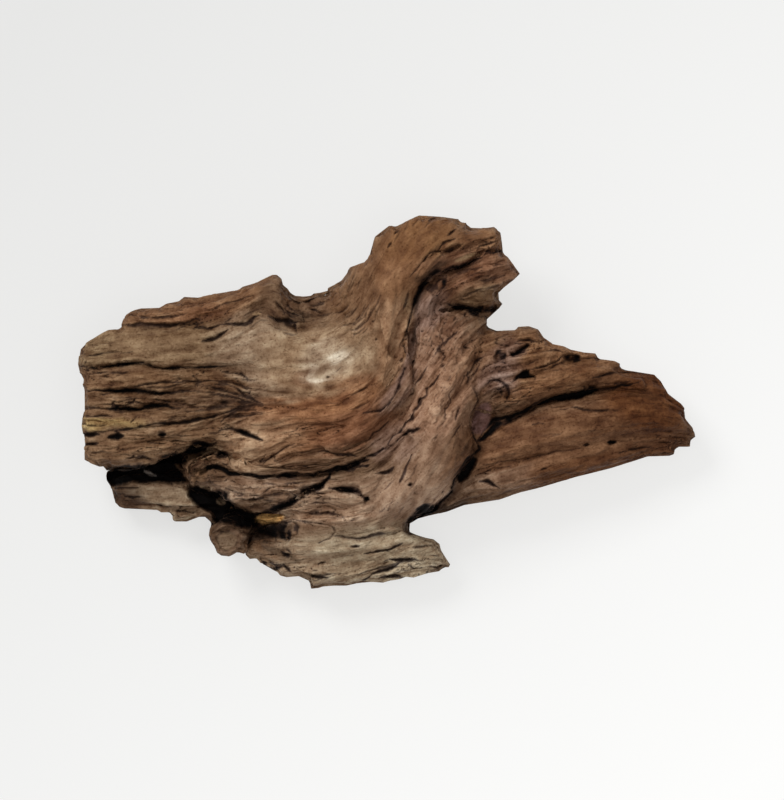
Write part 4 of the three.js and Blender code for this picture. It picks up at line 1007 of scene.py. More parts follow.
# Painted shade among the patches: most dark patches lie in hollows and along lower edges, the tip tone also runs under
# the right arm's lower edge, and the darker tip and crown top stand in for the light falling off at the far ends.
patches = [
    ("armTop", -150, 38, 60, 16, 0, 1), ("armEnd", -192, 34, 14, 12, 0, 0.7),
    ("ridge", -130, 60, 48, 9, 8, 1), ("rust", -122, 58, 16, 6, 8, 0.6), ("ridge", -88, 74, 16, 9, 30, 1),
    ("strip", -150, 12, 60, 11, 0, 1), ("strip", -150, -3, 54, 8, 0, 0.9), ("dark", -125, 2, 34, 7, 0, 0.45),
    ("straw", -178, -13.5, 24, 4, 1, 0.9), ("armLow", -150, -27, 50, 12, 3, 1), ("armLow", -125, -18, 24, 8, 12, 0.8),
    ("bowlLeft", -84, 34, 26, 20, 0, 1), ("bowlLeft", -70, 14, 22, 16, 0, 0.9), ("bowl", -50, 26, 30, 24, 0, 1),
    # the bowl's paler wood with a painted highlight on it
    ("bowl", -30, 34, 16, 24, -20, 0.8), ("paleWithHighlight", -40, 28, 17, 13, 30, 0.85), ("paleWithHighlight", -50, 17, 5, 10, 20, 0.5),
    ("rust", -54, 15, 7, 5, 0, 0.5), ("underBowl", -55, -6, 36, 10, 4, 0.9), ("underBowl", -24, 4, 20, 12, 26, 0.7),
    ("red", -25, -17, 34, 11, 12, 0.95), ("red", -2, 2, 8, 18, -30, 0.6), ("shelfTop", -84, -26, 26, 16, 16, 0.9),
    ("underBowl", -60, -24, 22, 10, 14, 0.5), ("neck", -4, 40, 12, 26, 0, 0.95), ("neck", 4, 60, 7, 22, 0, 0.7),
    ("crown", 8, 84, 20, 22, -15, 0.95), ("crownTop", 22, 108, 26, 16, 20, 0.95), ("crown", 60, 106, 18, 8, 10, 0.8),
    ("flap", 56, 82, 30, 18, 14, 1), ("crown", 62, 68, 22, 4, 12, 0.5), ("ridge", -22, 66, 16, 16, 20, 0.7),
    # painted highlights on the bowl
    ("paintedGlare", -49, 20, 2.6, 7, 18, 0.6), ("paintedGlare", -43.5, 14.6, 6, 2.2, -14, 0.6), ("paintedGlare", -33, 30, 7, 3, 35, 0.5),
    # painted highlight along the neck's right edge
    ("paleStrip", 8, 46, 5, 20, -8, 0.6),
    ("valley", 30, 36, 26, 24, 0, 0.95), ("plum", 14, 34, 6, 22, -12, 0.7), ("plum", 26, 60, 10, 12, -20, 0.8),
    ("plum", 8, 10, 6, 16, -22, 0.6), ("curtain", 36, 0, 20, 34, -28, 0.95), ("curtainLow", 24, -46, 20, 24, -20, 0.9),
    ("curtainLow", -2, -64, 20, 16, 20, 0.9), ("shelf", -40, -66, 34, 14, 6, 0.9), ("shelf", -86, -54, 26, 8, 0, 0.9),
    ("plum", 4, -26, 14, 10, 45, 0.5), ("slab", 100, 26, 50, 22, -4, 1), ("plum", 70, 20, 12, 12, 0, 0.75),
    ("slabLow", 110, -26, 70, 24, 8, 1), ("slab", 128, -16, 34, 6, 4, 0.5), ("tip", 176, 2, 34, 26, -20, 0.85),
    ("tip", 130, -42, 60, 7, 12, 0.6), ("curtainLow", 70, -50, 26, 8, 12, 0.4), ("foot", -10, -99, 54, 18, 4, 1),
    ("armTop", 58, 71, 19, 7, 12, 0.8), ("slabPale", 100, 11, 34, 6, 14, 0.8), ("slabPale", 112, -28, 40, 8, 8, 0.2),
    ("plum", 76, 26, 9, 16, 0, 0.6), ("footLeft", -64, -102, 22, 12, 0, 0.9), ("stub", -104, -88, 15, 14, 0, 1), ("spur", -144, -60, 26, 8, -4, 0.95),
    ("spur", -132, -75, 12, 4, 0, 0.8), ("dark", -170, -62, 12, 10, 0, 0.6), ("dark", -78, -85, 15, 8, 0, 0.85),
    ("ridge", -76, -95, 14, 6, 0, 0.5), ("dark", -96, -55, 14, 8, 0, 0.22), ("dark", -2, -68, 18, 9, 0, 0.16),
    ("neck", 2, 50, 6, 14, -8, 0.5), ("dark", 120, -34, 60, 14, 10, 0.1), ("neck", 40, 6, 10, 24, -28, 0.25),
]
# painted shadow: black places in hollows, along cracks and under overhanging edges
shadowPlaces = [
    (-172, -46, 9, 6, 0, 0.7), (-76, -84, 15, 6, 4, 0.7), (-70, -97, 8, 5, -30, 0.4), (-180, -60, 5, 6, 0, 0.5),
    (30, 84, 12, 2.2, 32, 0.6), (20, 68, 2.4, 12, -20, 0.5),
    (170, 6, 9, 3, -10, 0.3), (52, -30, 5, 6, -20, 0.4), (40, -68, 14, 3, 14, 0.6), (-58, 56, 9, 3, 0, 0.4),
    (15, 46, 1.8, 10, -8, 0.5),
]


def ellipseShare(x, y, cx, cy, rx, ry, turn, hard):
    a = math.radians(turn)
    u = ((x - cx) * math.cos(a) + (y - cy) * math.sin(a)) / rx
    v = (-(x - cx) * math.sin(a) + (y - cy) * math.cos(a)) / ry
    return 1 - smoothStep(1 - hard, 1 + hard, np.sqrt(u * u + v * v))


cleanPatches = [
    ("amber", -77, -75.3, 9.2, 3.2, 5, 1), ("chip", 61, -10, 5.6, 10.6, -20, 1), ("pale", -155, -46, 4.5, 1.2, -22, 0.9),
    ("stub", -104, -89, 10.5, 9.5, 0, 0.5), ("stubTop", -104.4, -89.6, 6.2, 5.6, 0, 0.8), ("paleStrip", 52, 94.3, 9, 1.5, 18, 0.9), ("paleStrip", -85, 57.4, 2.6, 1.0, 0, 0.9),
    ("spur", -109, -64.5, 3, 2, -30, 0.6), ("armLow", -124, -44, 6, 9, 10, 0.6), ("stub", -113, -50, 6, 3, 0, 0.6),
]


def woodColour():
    x = co[:, 0] + 3.0 * broad + 1.4 * lumps
    y = co[:, 1] + 1.6 * middle + 1.4 * lumps
    colour = np.repeat(tones["back"][None], len(co), 0)
    front = smoothStep(0.2, 0.7, share)
    for name, cx, cy, rx, ry, turn, strength in patches:
        near = ellipseShare(x, y, cx, cy, rx, ry, turn, 0.45) * strength * front
        colour = colour * (1 - near[:, None]) + tones[name] * near[:, None]
    # painted black shadow at these places
    shadowShare = np.zeros(len(co))
    for cx, cy, rx, ry, turn, strength in shadowPlaces:
        shadowShare = np.maximum(shadowShare, ellipseShare(x, y, cx, cy, rx, ry, turn, 0.3) * strength)
    return colour, shadowShare * smoothStep(0.05, 0.3, share), (co[:, 0] + 0.8 * lumps, co[:, 1] + 0.8 * lumps)


colour, shadowShare, bent = woodColour()
blots = streaks(co, share, 3.4, 6, 25)
tint = 1 + (0.10 * middle + 0.07 * broad + 0.05 * fine + 0.05 * crumb) * np.clip(rough, 0.4, 1.3)
inBowl = np.exp(-((co[:, 0] + 52) / 42) ** 2 - ((co[:, 1] - 18) / 32) ** 2)
tint += 0.12 * inBowl * (lumpNoise(13, 47, co) + 0.7 * blots)
# besides blotches, flaked plates are painted paler the higher they stand: painted light
tint += 0.11 * lumps + 0.12 * blots + 0.09 * np.floor(plates + 0.5) * np.minimum(flaky, 1)
# painted shade in the hollows and painted highlight on the ridges, small and broad
tint = tint * (1 - 0.55 * smoothStep(0.06, 0.9, hollow) + 0.2 * smoothStep(0.05, 0.6, -hollow))
tint = tint * (1 - 0.4 * smoothStep(0.3, 3.0, deepHollow) + 0.08 * smoothStep(0.2, 2.0, -deepHollow))
warmth = np.array([0.8, 1.0, 1.14])  # the darker, the browner
colour = colour * np.clip(tint, 0.14, 1.7)[:, None] ** warmth
# painted shade: marked cracks and hollows go to a dark brown, the deepest ones and the shadow places to black
small = smoothStep(0.1, 0.55, mark)
black = smoothStep(0.6, 1.0, mark)
colour = colour * (1 - small[:, None]) + colour * (tones["gap"] / tones["slab"]) * small[:, None]
colour = colour * (1 - black[:, None]) + tones["shadowBlack"] * black[:, None]
dark = np.maximum(np.maximum(0.6 * small, black), shadowShare)
colour = colour * (1 - shadowShare[:, None]) + tones["shadowBlack"] * shadowShare[:, None]
for name, cx, cy, rx, ry, turn, strength in cleanPatches:
    near = ellipseShare(bent[0], bent[1], cx, cy, rx, ry, turn, 0.16) * strength * upward
    clean = tones[name] * np.clip(1 + 0.6 * (tint - 1), 0.5, 1.3)[:, None]
    colour = colour * (1 - near[:, None]) + clean * near[:, None]
    dark = dark * (1 - near)
print("colours ready")


# ---- one closed piece for each main fork
forks = {
    "left_arm": [(-86, 100), (-88, 20), (-92, -34), (-114, -34), (-134, -42.2), (-220, -42.2), (-220, 100)],
    "left_spur": [(-220, -42.2), (-134, -42.2), (-131, -56), (-117, -76), (-117, -110), (-220, -110)],
    "root_stub": [(-117, -110), (-117, -76), (-106, -72), (-92, -78), (-93, -110)],
    "foot": [(-93, -110), (-92, -78), (-60, -77), (-36, -79), (8, -80), (30, -82), (60, -82), (60, -140), (-93, -140)],
    "crown_arm": [(-40, 100), (-26, 80), (-6, 72), (14, 54), (64, 53.5), (100, 54), (110, 140), (-40, 140)],
    "right_arm": [(220, 60), (66, 60), (62, 44), (57, 20), (53, -14), (54, -32), (46, -46), (41, -58), (30, -67),
                  (24, -90), (220, -90)],
}
# The heart's skin is two pieces that part along the crevice under the bowl and the long crack.
crevice = [(-92, -34), (-104, -46), (-90, -47.5), (-74, -48.5), (-62, -46), (-48, -47), (-37, -43.5), (-25, -40.5),
           (-15, -35.5), (-5, -31.5), (4, -26), (14, -11), (22, 4), (30, 13), (34, 20), (26, 40), (14, 54)]
bowlPart = [(-86, 100), (-88, 20)] + crevice + [(-6, 72), (-26, 80), (-40, 100)]
curtainPart = [(26, -84), (30, -67), (41, -58), (46, -46), (54, -32), (53, -14), (57, 20), (62, 44), (65, 53.5)]
curtainPart += crevice[::-1] + [(-114, -34), (-134, -42.2), (-131, -56), (-117, -76), (-106, -72), (-92, -78)]
curtainPart += [(-60, -77), (-36, -79), (8, -80)]
capDepth = 2.4  # a cap lies this far under the surface, out of sight
capCell = 4.0
slots = {
    "heart": "heart_wood", "left_arm": "strip_wood", "left_spur": "spur_wood", "crown_arm": "crown_wood",
    "right_arm": "red_wood", "foot": "foot_wood", "root_stub": "stub_wood",
}


def touchingFaces():
    # pairs of faces that share an edge
    keys = []
    for k in range(4):
        edge = np.sort(quads[:, [k, (k + 1) % 4]], axis=1).astype(np.int64)
        keys.append(edge[:, 0] * (1 << 32) + edge[:, 1])
    keys = np.concatenate(keys)
    face = np.tile(np.arange(len(quads)), 4)
    order = np.argsort(keys, kind="stable")
    keys = keys[order]
    face = face[order]
    same = keys[1:] == keys[:-1]
    print("edges with over two faces", int((same[1:] & same[:-1]).sum()))
    return face[:-1][same], face[1:][same]


def faceOwners():
    centre = co[quads].mean(axis=1)
    owner = np.zeros(len(quads), int)
    parts = [("heart", "heart_curtain_skin", curtainPart)]
    for name, corners in forks.items():
        picked = inside(centre[:, 0], centre[:, 1], corners) & (owner == 0)
        owner[picked] = len(parts)
        parts.append((name, name + "_skin", corners))
    owner[inside(centre[:, 0], centre[:, 1], bowlPart) & (owner == 0)] = len(parts)
    parts.append(("heart", "heart_bowl_skin", bowlPart))
    a, b = touchingFaces()
    for _ in range(12):  # each face follows its neighbours, so that the cut is even
        votes = np.zeros((len(parts), len(quads)))
        for k in range(len(parts)):
            votes[k] = np.bincount(a, owner[b] == k, len(quads)) + np.bincount(b, owner[a] == k, len(quads))
        votes[owner, np.arange(len(quads))] += 0.5
        owner = np.argmax(votes, axis=0)
    return owner, parts


def edgeEnds(fours, threes):
    tail = np.concatenate([fours.ravel(), threes.ravel()])
    head = np.concatenate([np.roll(fours, -1, axis=1).ravel(), np.roll(threes, -1, axis=1).ravel()])
    return tail.astype(np.int64), head.astype(np.int64)


def looseEdges(fours, threes):
    # edges that run one way more often than the other
    tail, head = edgeEnds(fours, threes)
    count = int(max(tail.max(), head.max())) + 1
    key = np.minimum(tail, head) * count + np.maximum(tail, head)
    pairKeys, place = np.unique(key, return_inverse=True)
    extra = np.bincount(place, np.where(tail < head, 1, -1)).astype(int)
    low = np.repeat(pairKeys // count, np.abs(extra))
    high = np.repeat(pairKeys % count, np.abs(extra))
    forward = np.repeat(extra, np.abs(extra)) > 0
    return np.where(forward, low, high), np.where(forward, high, low)


def rimLoops(fours, threes):
    # simple closed rings along the open edges, each in the order that a cap on it needs
    after = {}
    for a, b in zip(*[ends.tolist() for ends in looseEdges(fours, threes)]):
        after.setdefault(b, []).append(a)
    rings = []
    while after:
        walk = [next(iter(after))]
        seen = {walk[0]: 0}
        while walk[-1] in after:
            here = walk[-1]
            there = after[here].pop()
            if not after[here]:
                del after[here]
            if there in seen:
                first = seen[there]
                rings.append(walk[first:])
                for v in walk[first + 1:]:
                    del seen[v]
                walk = walk[:first + 1]
            else:
                seen[there] = len(walk)
                walk.append(there)
    return [ring for ring in rings if len(ring) > 2]


def alongWall(x, y, wall):
    # how far along the cut's line each point lies
    a = np.array(wall, float)
    b = np.roll(a, -1, 0)
    length = np.hypot(*(b - a).T)
    start = np.concatenate([[0], np.cumsum(length)])
    best = np.full(len(x), np.inf)
    place = np.zeros(len(x))
    for k in range(len(a)):
        way = (b[k] - a[k]) / length[k]
        t = np.clip((x - a[k, 0]) * way[0] + (y - a[k, 1]) * way[1], 0, length[k])
        gap = np.hypot(x - a[k, 0] - t * way[0], y - a[k, 1] - t * way[1])
        place = np.where(gap < best, start[k] + t, place)
        best = np.minimum(gap, best)
    return place, start, np.concatenate([a, a[:1]])


def capRing(ring, points, aim, wall, first):
    # a skirt into the wood and a wall of small triangles across it
    inner = points[ring] - capDepth * aim[ring]
    for _ in range(10):
        inner = (np.roll(inner, 1, 0) + 2 * inner + np.roll(inner, -1, 0)) / 4
    inner[:, 2] = np.maximum(inner[:, 2], 0.0)
    count = len(ring)
    place, start, line = alongWall(inner[:, 0], inner[:, 1], wall)
    flat = [Vector((float(a), float(b))) for a, b in zip(place, inner[:, 2])]
    columns = np.arange(place.min() + 2, place.max() - 1, capCell)
    rows = np.arange(inner[:, 2].min() + 2, inner[:, 2].max() - 1, capCell)
    flat += [Vector((float(a), float(b))) for a in columns for b in rows]
    edges = [(k, (k + 1) % count) for k in range(count)]
    found, _, faces, origin, _, _ = delaunay_2d_cdt(flat, edges, [], 1, 1e-7)
    spot = np.array([tuple(v) for v in found]).reshape(-1, 2)
    lifted = np.stack([np.interp(spot[:, 0], start, line[:, 0]), np.interp(spot[:, 0], start, line[:, 1]), spot[:, 1]], 1)
    index = np.arange(len(found)) + first + count
    for k, known in enumerate(origin):
        for v in known:
            if v < count:
                index[k] = first + v
                break
    turn = np.sum(place * (np.roll(inner[:, 2], -1) - np.roll(inner[:, 2], 1)))
    triangles = [[int(index[v]) for v in (f if turn > 0 else f[::-1])] for f in faces]
    nextOne = np.roll(np.arange(count), -1)
    outer = np.array(ring)
    skirt = np.stack([outer, outer[nextOne], first + nextOne, first + np.arange(count)], 1)
    return np.concatenate([inner, lifted]), skirt, triangles


def chartPlaces(mesh, points, faceNormal, loopVerts, loopFace):
    # six flat charts side by side, by the way that each face looks
    side = np.argmax(np.abs(faceNormal), axis=1)
    side = np.where(np.abs(faceNormal[:, 2]) > 0.42, 2, side)
    way = (np.take_along_axis(faceNormal, side[:, None], 1)[:, 0] > 0).astype(int)
    chart = (side * 2 + way)[loopFace]
    p = points[loopVerts]
    low = points.min(0)
    size = points.max(0) - low
    p = (p - low)
    wide = np.where(chart // 2 == 0, p[:, 1], p[:, 0])
    tall = np.where(chart // 2 == 2, p[:, 1], p[:, 2])
    gap = 2.0
    offsets = {}
    top = size[1] + gap
    offsets[5] = (0, 0)
    offsets[4] = (size[0] + gap, 0)
    offsets[0] = (0, top)
    offsets[1] = (size[1] + gap, top)
    offsets[2] = (0, top + size[2] + gap)
    offsets[3] = (size[0] + gap, top + size[2] + gap)
    du = np.zeros(len(chart))
    dv = np.zeros(len(chart))
    for key, (ox, oy) in offsets.items():
        du[chart == key] = ox
        dv[chart == key] = oy
    scale = 1 / max(2 * size[0] + gap, 2 * size[1] + gap, top + 2 * size[2] + gap)
    return np.stack([(wide + du) * scale, (tall + dv) * scale], 1)


def buildPiece(title, picked, wall):
    used, inverse = np.unique(quads[picked], return_inverse=True)
    corners = inverse.reshape(-1, 4).astype(np.int32)
    places = [co[used]]
    aims = normals[used]
    fours = [corners]
    threes = []
    total = len(used)
    source = [used]
    for ring in rimLoops(corners, np.zeros((0, 3), int)):
        if len(ring) < 12:
            threes += [[ring[0], ring[k], ring[k + 1]] for k in range(1, len(ring) - 1)]
            continue
        extra, skirt, triangles = capRing(ring, places[0], aims, wall, total)
        places.append(extra)
        fours.append(skirt)
        threes += triangles
        rim = used[ring]
        source.append(np.concatenate([rim, np.full(len(extra) - len(ring), rim[0])]))
        total += len(extra)
    points = np.concatenate(places)
    source = np.concatenate(source)
    fours = np.concatenate(fours)
    threes = np.array(threes, np.int64).reshape(-1, 3)
    for ring in rimLoops(fours, threes):  # slits left where a rim crosses itself
        fan = [[ring[0], ring[k], ring[k + 1]] for k in range(1, len(ring) - 1)]
        threes = np.concatenate([threes, np.array(fan)])
    loose = len(looseEdges(fours, threes)[0])
    loopVerts = np.concatenate([fours.ravel(), threes.ravel()])
    needed, loopVerts = np.unique(loopVerts, return_inverse=True)
    points = points[needed]
    source = source[needed]
    added = needed >= len(used)
    mesh = bpy.data.meshes.new(title)
    mesh.vertices.add(len(points))
    mesh.vertices.foreach_set("co", (points * mm).astype(np.float32).ravel())
    mesh.loops.add(len(loopVerts))
    mesh.loops.foreach_set("vertex_index", loopVerts.astype(np.int32).ravel())
    starts = np.concatenate([np.arange(len(fours)) * 4, len(fours) * 4 + np.arange(len(threes)) * 3])
    mesh.polygons.add(len(starts))
    mesh.polygons.foreach_set("loop_start", starts.astype(np.int32))
    mesh.update()
    mesh.polygons.foreach_set("use_smooth", np.ones(len(mesh.polygons), bool))
    tri = len(mesh.loops) - 2 * len(mesh.polygons)
    obj = bpy.data.objects.new(title, mesh)
    bpy.context.scene.collection.objects.link(obj)
    paintLayer = mesh.color_attributes.new("woodColour", "FLOAT_COLOR", "POINT")
    used = source
    rgba = np.ones((len(used), 4), np.float32)
    rgba[:, :3] = colour[used]
    paintLayer.data.foreach_set("color", rgba.ravel())
    flow = np.empty((len(used), 3), np.float32)
    flow[:, 0] = bilinear(alongGrid, co[used, 0], co[used, 1], skin["fieldCell"])
    flow[:, 1] = bilinear(acrossGrid, co[used, 0], co[used, 1], skin["fieldCell"])
    flow[:, 2] = share[used] * skin["layers"]
    mesh.attributes.new("flow", "FLOAT_VECTOR", "POINT").data.foreach_set("vector", flow.ravel())
    # the painted shade of cracks and hollows, passed on to raise the roughness
    shadeInHollows = np.clip(dark[used] + 0.3 * smoothStep(0.3, 1.4, hollow[used]), 0, 1).astype(np.float32)
    mesh.attributes.new("hollowShade", "FLOAT", "POINT").data.foreach_set("value", shadeInHollows)
    coarse = np.clip(rough[used], 0, 2).astype(np.float32)
    mesh.attributes.new("coarse", "FLOAT", "POINT").data.foreach_set("value", coarse)
    faceNormal = np.empty(len(mesh.polygons) * 3, np.float32)
    mesh.polygons.foreach_get("normal", faceNormal)
    totals = np.empty(len(mesh.polygons), np.int32)
    mesh.polygons.foreach_get("loop_total", totals)
    loopFace = np.repeat(np.arange(len(totals)), totals)
    uv = chartPlaces(mesh, points, faceNormal.reshape(-1, 3), loopVerts, loopFace)
    mesh.uv_layers.new(name="OFBake").data.foreach_set("uv", uv.astype(np.float32).ravel())
    aim = np.where(added[:, None], 0.0, normals[used])
    mesh.normals_split_custom_set_from_vertices(aim.tolist())
    print(title, tri, "triangles", loose, "loose edges")
    return obj


# ---- materials
def grainGroup():
    # fine streaks and pores along the grain, and more roughness where the painted shade of cracks and hollows lies
    tree = bpy.data.node_groups.new("fineGrain", "ShaderNodeTree")
    face = tree.interface
    face.new_socket("Streak Size", in_out="INPUT", socket_type="NodeSocketFloat").default_value = 1.0
    face.new_socket("Contrast", in_out="INPUT", socket_type="NodeSocketFloat").default_value = 0.3
    face.new_socket("Wood Tint", in_out="INPUT", socket_type="NodeSocketColor").default_value = (1, 1, 1, 1)
    face.new_socket("Colour", in_out="OUTPUT", socket_type="NodeSocketColor")
    face.new_socket("Height", in_out="OUTPUT", socket_type="NodeSocketFloat")
    face.new_socket("Roughness", in_out="OUTPUT", socket_type="NodeSocketFloat")
    nodes = tree.nodes
    links = tree.links
    given = nodes.new("NodeGroupInput")
    out = nodes.new("NodeGroupOutput")
    base = nodes.new("ShaderNodeAttribute")
    base.attribute_name = "woodColour"
    flow = nodes.new("ShaderNodeAttribute")
    flow.attribute_name = "flow"
    hollowShade = nodes.new("ShaderNodeAttribute")
    hollowShade.attribute_name = "hollowShade"
    coarse = nodes.new("ShaderNodeAttribute")
    coarse.attribute_name = "coarse"
    place = nodes.new("ShaderNodeTexCoord")

    def math2(kind, a, b):
        node = nodes.new("ShaderNodeMath")
        node.operation = kind
        for socket, value in zip(node.inputs, (a, b)):
            if isinstance(value, (int, float)):
                socket.default_value = value
            else:
                links.new(value, socket)
        return node.outputs[0]

    def stretched(along, across, deep, detail, rough):
        mapping = nodes.new("ShaderNodeMapping")
        mapping.inputs["Scale"].default_value = (along, across, deep)
        links.new(flow.outputs["Vector"], mapping.inputs["Vector"])
        scaled = nodes.new("ShaderNodeVectorMath")
        scaled.operation = "SCALE"
        links.new(mapping.outputs[0], scaled.inputs[0])
        links.new(given.outputs["Streak Size"], scaled.inputs["Scale"])
        noise = nodes.new("ShaderNodeTexNoise")
        noise.inputs["Scale"].default_value = 1.0
        noise.inputs["Detail"].default_value = detail
        noise.inputs["Roughness"].default_value = rough
        links.new(scaled.outputs[0], noise.inputs["Vector"])
        return noise.outputs["Fac"]

    def objectNoise(scale, detail, rough):
        noise = nodes.new("ShaderNodeTexNoise")
        noise.inputs["Scale"].default_value = scale
        noise.inputs["Detail"].default_value = detail
        noise.inputs["Roughness"].default_value = rough
        links.new(place.outputs["Object"], noise.inputs["Vector"])
        return noise.outputs["Fac"]

    def thresholded(value, low, high):
        ramp = nodes.new("ShaderNodeMapRange")
        ramp.interpolation_type = "SMOOTHSTEP"
        ramp.inputs["From Min"].default_value = low
        ramp.inputs["From Max"].default_value = high
        links.new(value, ramp.inputs["Value"])
        return ramp.outputs["Result"]

    fibres = stretched(0.16, 1.1, 0.8, 3.0, 0.65)
    bands = stretched(0.07, 0.36, 0.25, 3.0, 0.65)
    shakes = stretched(0.10, 0.6, 0.5, 2.0, 0.6)
    pores = objectNoise(700.0, 2.0, 0.6)
    blotch = objectNoise(150.0, 4.0, 0.7)
    wild = math2("MINIMUM", coarse.outputs["Fac"], 1.2)
    lines = math2("ADD", math2("MULTIPLY", math2("SUBTRACT", fibres, 0.5), 0.22),
                  math2("MULTIPLY", math2("SUBTRACT", bands, 0.5), 0.26))
    spots = math2("ADD", math2("MULTIPLY", math2("SUBTRACT", pores, 0.5), 0.22),
                  math2("MULTIPLY", math2("SUBTRACT", blotch, 0.5), 0.5))
    centred = math2("ADD", math2("MULTIPLY", lines, wild), spots)
    mixed = math2("ADD", centred, 0.5)
    gain = math2("ADD", math2("MULTIPLY", centred, given.outputs["Contrast"]), 1.0)
    openGrain = thresholded(shakes, 0.335, 0.385)
    speck = thresholded(pores, 0.30, 0.36)
    shadeOpen = math2("MULTIPLY", math2("SUBTRACT", 1.0, openGrain), math2("MULTIPLY", wild, 0.38))
    gain = math2("MULTIPLY", gain, math2("SUBTRACT", 1.0, shadeOpen))
    gain = math2("MULTIPLY", gain, math2("ADD", math2("MULTIPLY", speck, 0.35), 0.65))
    # darker grain is browner, so each channel follows the gain by its own power
    powers = nodes.new("ShaderNodeCombineXYZ")
    for socket, power in zip(powers.inputs, (0.8, 1.0, 1.14)):
        links.new(math2("POWER", gain, power), socket)
    warmed = nodes.new("ShaderNodeVectorMath")
    warmed.operation = "MULTIPLY"
    links.new(base.outputs["Color"], warmed.inputs[0])
    links.new(powers.outputs[0], warmed.inputs[1])
    tinted = nodes.new("ShaderNodeVectorMath")
    tinted.operation = "MULTIPLY"
    links.new(warmed.outputs[0], tinted.inputs[0])
    links.new(given.outputs["Wood Tint"], tinted.inputs[1])
    links.new(tinted.outputs[0], out.inputs["Colour"])
    depth = math2("ADD", mixed, math2("MULTIPLY", openGrain, 0.25))
    depth = math2("ADD", depth, math2("MULTIPLY", speck, 0.12))
    links.new(depth, out.inputs["Height"])
    roughNess = math2("ADD", math2("MULTIPLY", hollowShade.outputs["Fac"], 0.2), math2("MULTIPLY", fibres, 0.16))
    links.new(math2("ADD", roughNess, 0.5), out.inputs["Roughness"])
    return tree


finishes = {
    "heart_wood": {"tint": (1.0, 1.0, 1.0), "streak": 1.0, "contrast": 3.4},
    "strip_wood": {"tint": (1.0, 1.0, 1.0), "streak": 0.9, "contrast": 4.2},
    "spur_wood": {"tint": (1.0, 1.0, 1.0), "streak": 1.0, "contrast": 4.0},
    "crown_wood": {"tint": (1.0, 1.0, 1.0), "streak": 0.9, "contrast": 3.2},
    "red_wood": {"tint": (1.0, 1.0, 1.0), "streak": 0.85, "contrast": 4.4},
    "foot_wood": {"tint": (1.0, 1.0, 1.0), "streak": 1.0, "contrast": 3.6},
    "stub_wood": {"tint": (1.0, 1.0, 1.0), "streak": 1.2, "contrast": 3.6},
}
fineGrain = grainGroup()


def woodMaterial(name):
    values = finishes[name]
    material = bpy.data.materials.new(name)
    material.use_nodes = True
    nodes = material.node_tree.nodes
    links = material.node_tree.links
    shader = nodes["Principled BSDF"]
    group = nodes.new("ShaderNodeGroup")
    group.node_tree = fineGrain
    group.inputs["Streak Size"].default_value = values["streak"]
    group.inputs["Contrast"].default_value = values["contrast"]
    group.inputs["Wood Tint"].default_value = (*values["tint"], 1)
    bump = nodes.new("ShaderNodeBump")
    bump.inputs["Strength"].default_value = 0.8
    bump.inputs["Distance"].default_value = 0.0016
    links.new(group.outputs["Colour"], shader.inputs["Base Color"])
    links.new(group.outputs["Roughness"], shader.inputs["Roughness"])
    links.new(group.outputs["Height"], bump.inputs["Height"])
    links.new(bump.outputs["Normal"], shader.inputs["Normal"])
    shader.inputs["Specular IOR Level"].default_value = 0.1
    return material


owner, parts = faceOwners()
for k, (name, title, wall) in enumerate(parts):
    piece = buildPiece(title, owner == k, wall)
    piece.data.materials.append(woodMaterial(slots[name]))
    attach(piece, "root")
    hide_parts(name)
print("pieces ready")

# ---- floor, light and camera
stage = {
    "floorSize": 3.0, "floorColour": (0.24, 0.24, 0.238), "floorGlow": (0.70, 0.70, 0.692),
    "darkCorner": 0.77, "brightCorner": 1.10, "keyPower": 30.0, "keySize": 0.9, "keyPlace": (-0.95, 1.15, 1.9),
    "fillPower": 10.0, "skyLight": 0.42,
}


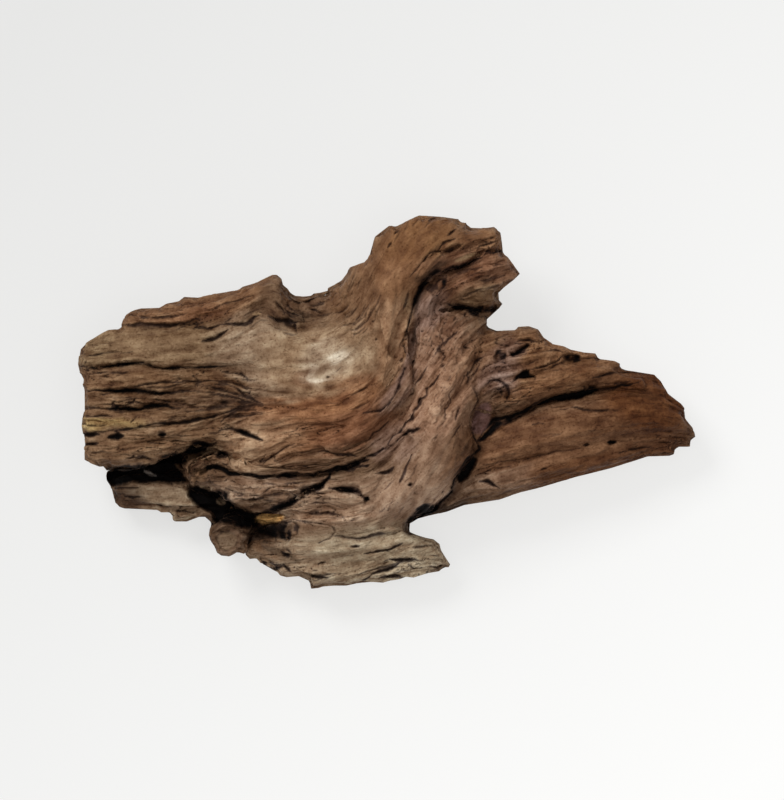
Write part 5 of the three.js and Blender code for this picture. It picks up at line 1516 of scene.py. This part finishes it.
def addFloor():
    half = stage["floorSize"] / 2
    mesh = bpy.data.meshes.new("floor")
    mesh.from_pydata([(-half, -half, 0), (half, -half, 0), (half, half, 0), (-half, half, 0)], [], [(0, 1, 2, 3)])
    floor = bpy.data.objects.new("floor", mesh)
    bpy.context.scene.collection.objects.link(floor)
    material = bpy.data.materials.new("pale_floor")
    material.use_nodes = True
    nodes = material.node_tree.nodes
    links = material.node_tree.links
    shader = nodes["Principled BSDF"]
    # the floor glows, brighter towards one corner: painted light, which also keeps shadows on it faint
    place = nodes.new("ShaderNodeTexCoord")
    slope = nodes.new("ShaderNodeVectorMath")
    slope.operation = "DOT_PRODUCT"
    slope.inputs[1].default_value = (1.5, -1.6, 0)
    links.new(place.outputs["Object"], slope.inputs[0])
    ramp = nodes.new("ShaderNodeMapRange")
    ramp.inputs["From Min"].default_value = -0.75
    ramp.inputs["From Max"].default_value = 0.75
    ramp.inputs["To Min"].default_value = stage["darkCorner"]
    ramp.inputs["To Max"].default_value = stage["brightCorner"]
    links.new(slope.outputs["Value"], ramp.inputs["Value"])
    glow = nodes.new("ShaderNodeVectorMath")
    glow.operation = "SCALE"
    glow.inputs[0].default_value = stage["floorGlow"]
    links.new(ramp.outputs["Result"], glow.inputs["Scale"])
    links.new(glow.outputs[0], shader.inputs["Emission Color"])
    shader.inputs["Base Color"].default_value = (*stage["floorColour"], 1)
    shader.inputs["Emission Strength"].default_value = 1.0
    shader.inputs["Roughness"].default_value = 0.9
    mesh.materials.append(material)


def addLight(name, place, size, power):
    light = bpy.data.lights.new(name, "AREA")
    light.energy = power
    light.size = size
    obj = bpy.data.objects.new(name, light)
    obj.location = place
    aim = -np.array(place) + np.array((0, 0, 0.05))
    flat = math.hypot(aim[0], aim[1])
    obj.rotation_euler = (math.atan2(flat, -aim[2]), 0, math.atan2(aim[1], aim[0]) - math.pi / 2)
    bpy.context.scene.collection.objects.link(obj)


addFloor()
addLight("key", stage["keyPlace"], stage["keySize"], stage["keyPower"])
addLight("fill", (0.15, -0.1, 2.6), 1.2, stage["fillPower"])
world = bpy.data.worlds.new("soft_sky")
world.use_nodes = True
world.node_tree.nodes["Background"].inputs["Color"].default_value = (1, 1, 1, 1)
world.node_tree.nodes["Background"].inputs["Strength"].default_value = stage["skyLight"]
bpy.context.scene.world = world
bpy.context.scene.view_settings.view_transform = "Standard"

lens = {"height": 6.0, "focus": 0.055, "frameWidth": 0.5096, "centre": (0.0029, 0.00195), "sensor": 36.0}
camera = bpy.data.cameras.new("camera")
camera.sensor_fit = "HORIZONTAL"
camera.sensor_width = lens["sensor"]
camera.lens = lens["sensor"] * (lens["height"] - lens["focus"]) / lens["frameWidth"]
camera.clip_end = 50
eye = bpy.data.objects.new("camera", camera)
eye.location = (*lens["centre"], lens["height"])
bpy.context.scene.collection.objects.link(eye)
bpy.context.scene.camera = eye
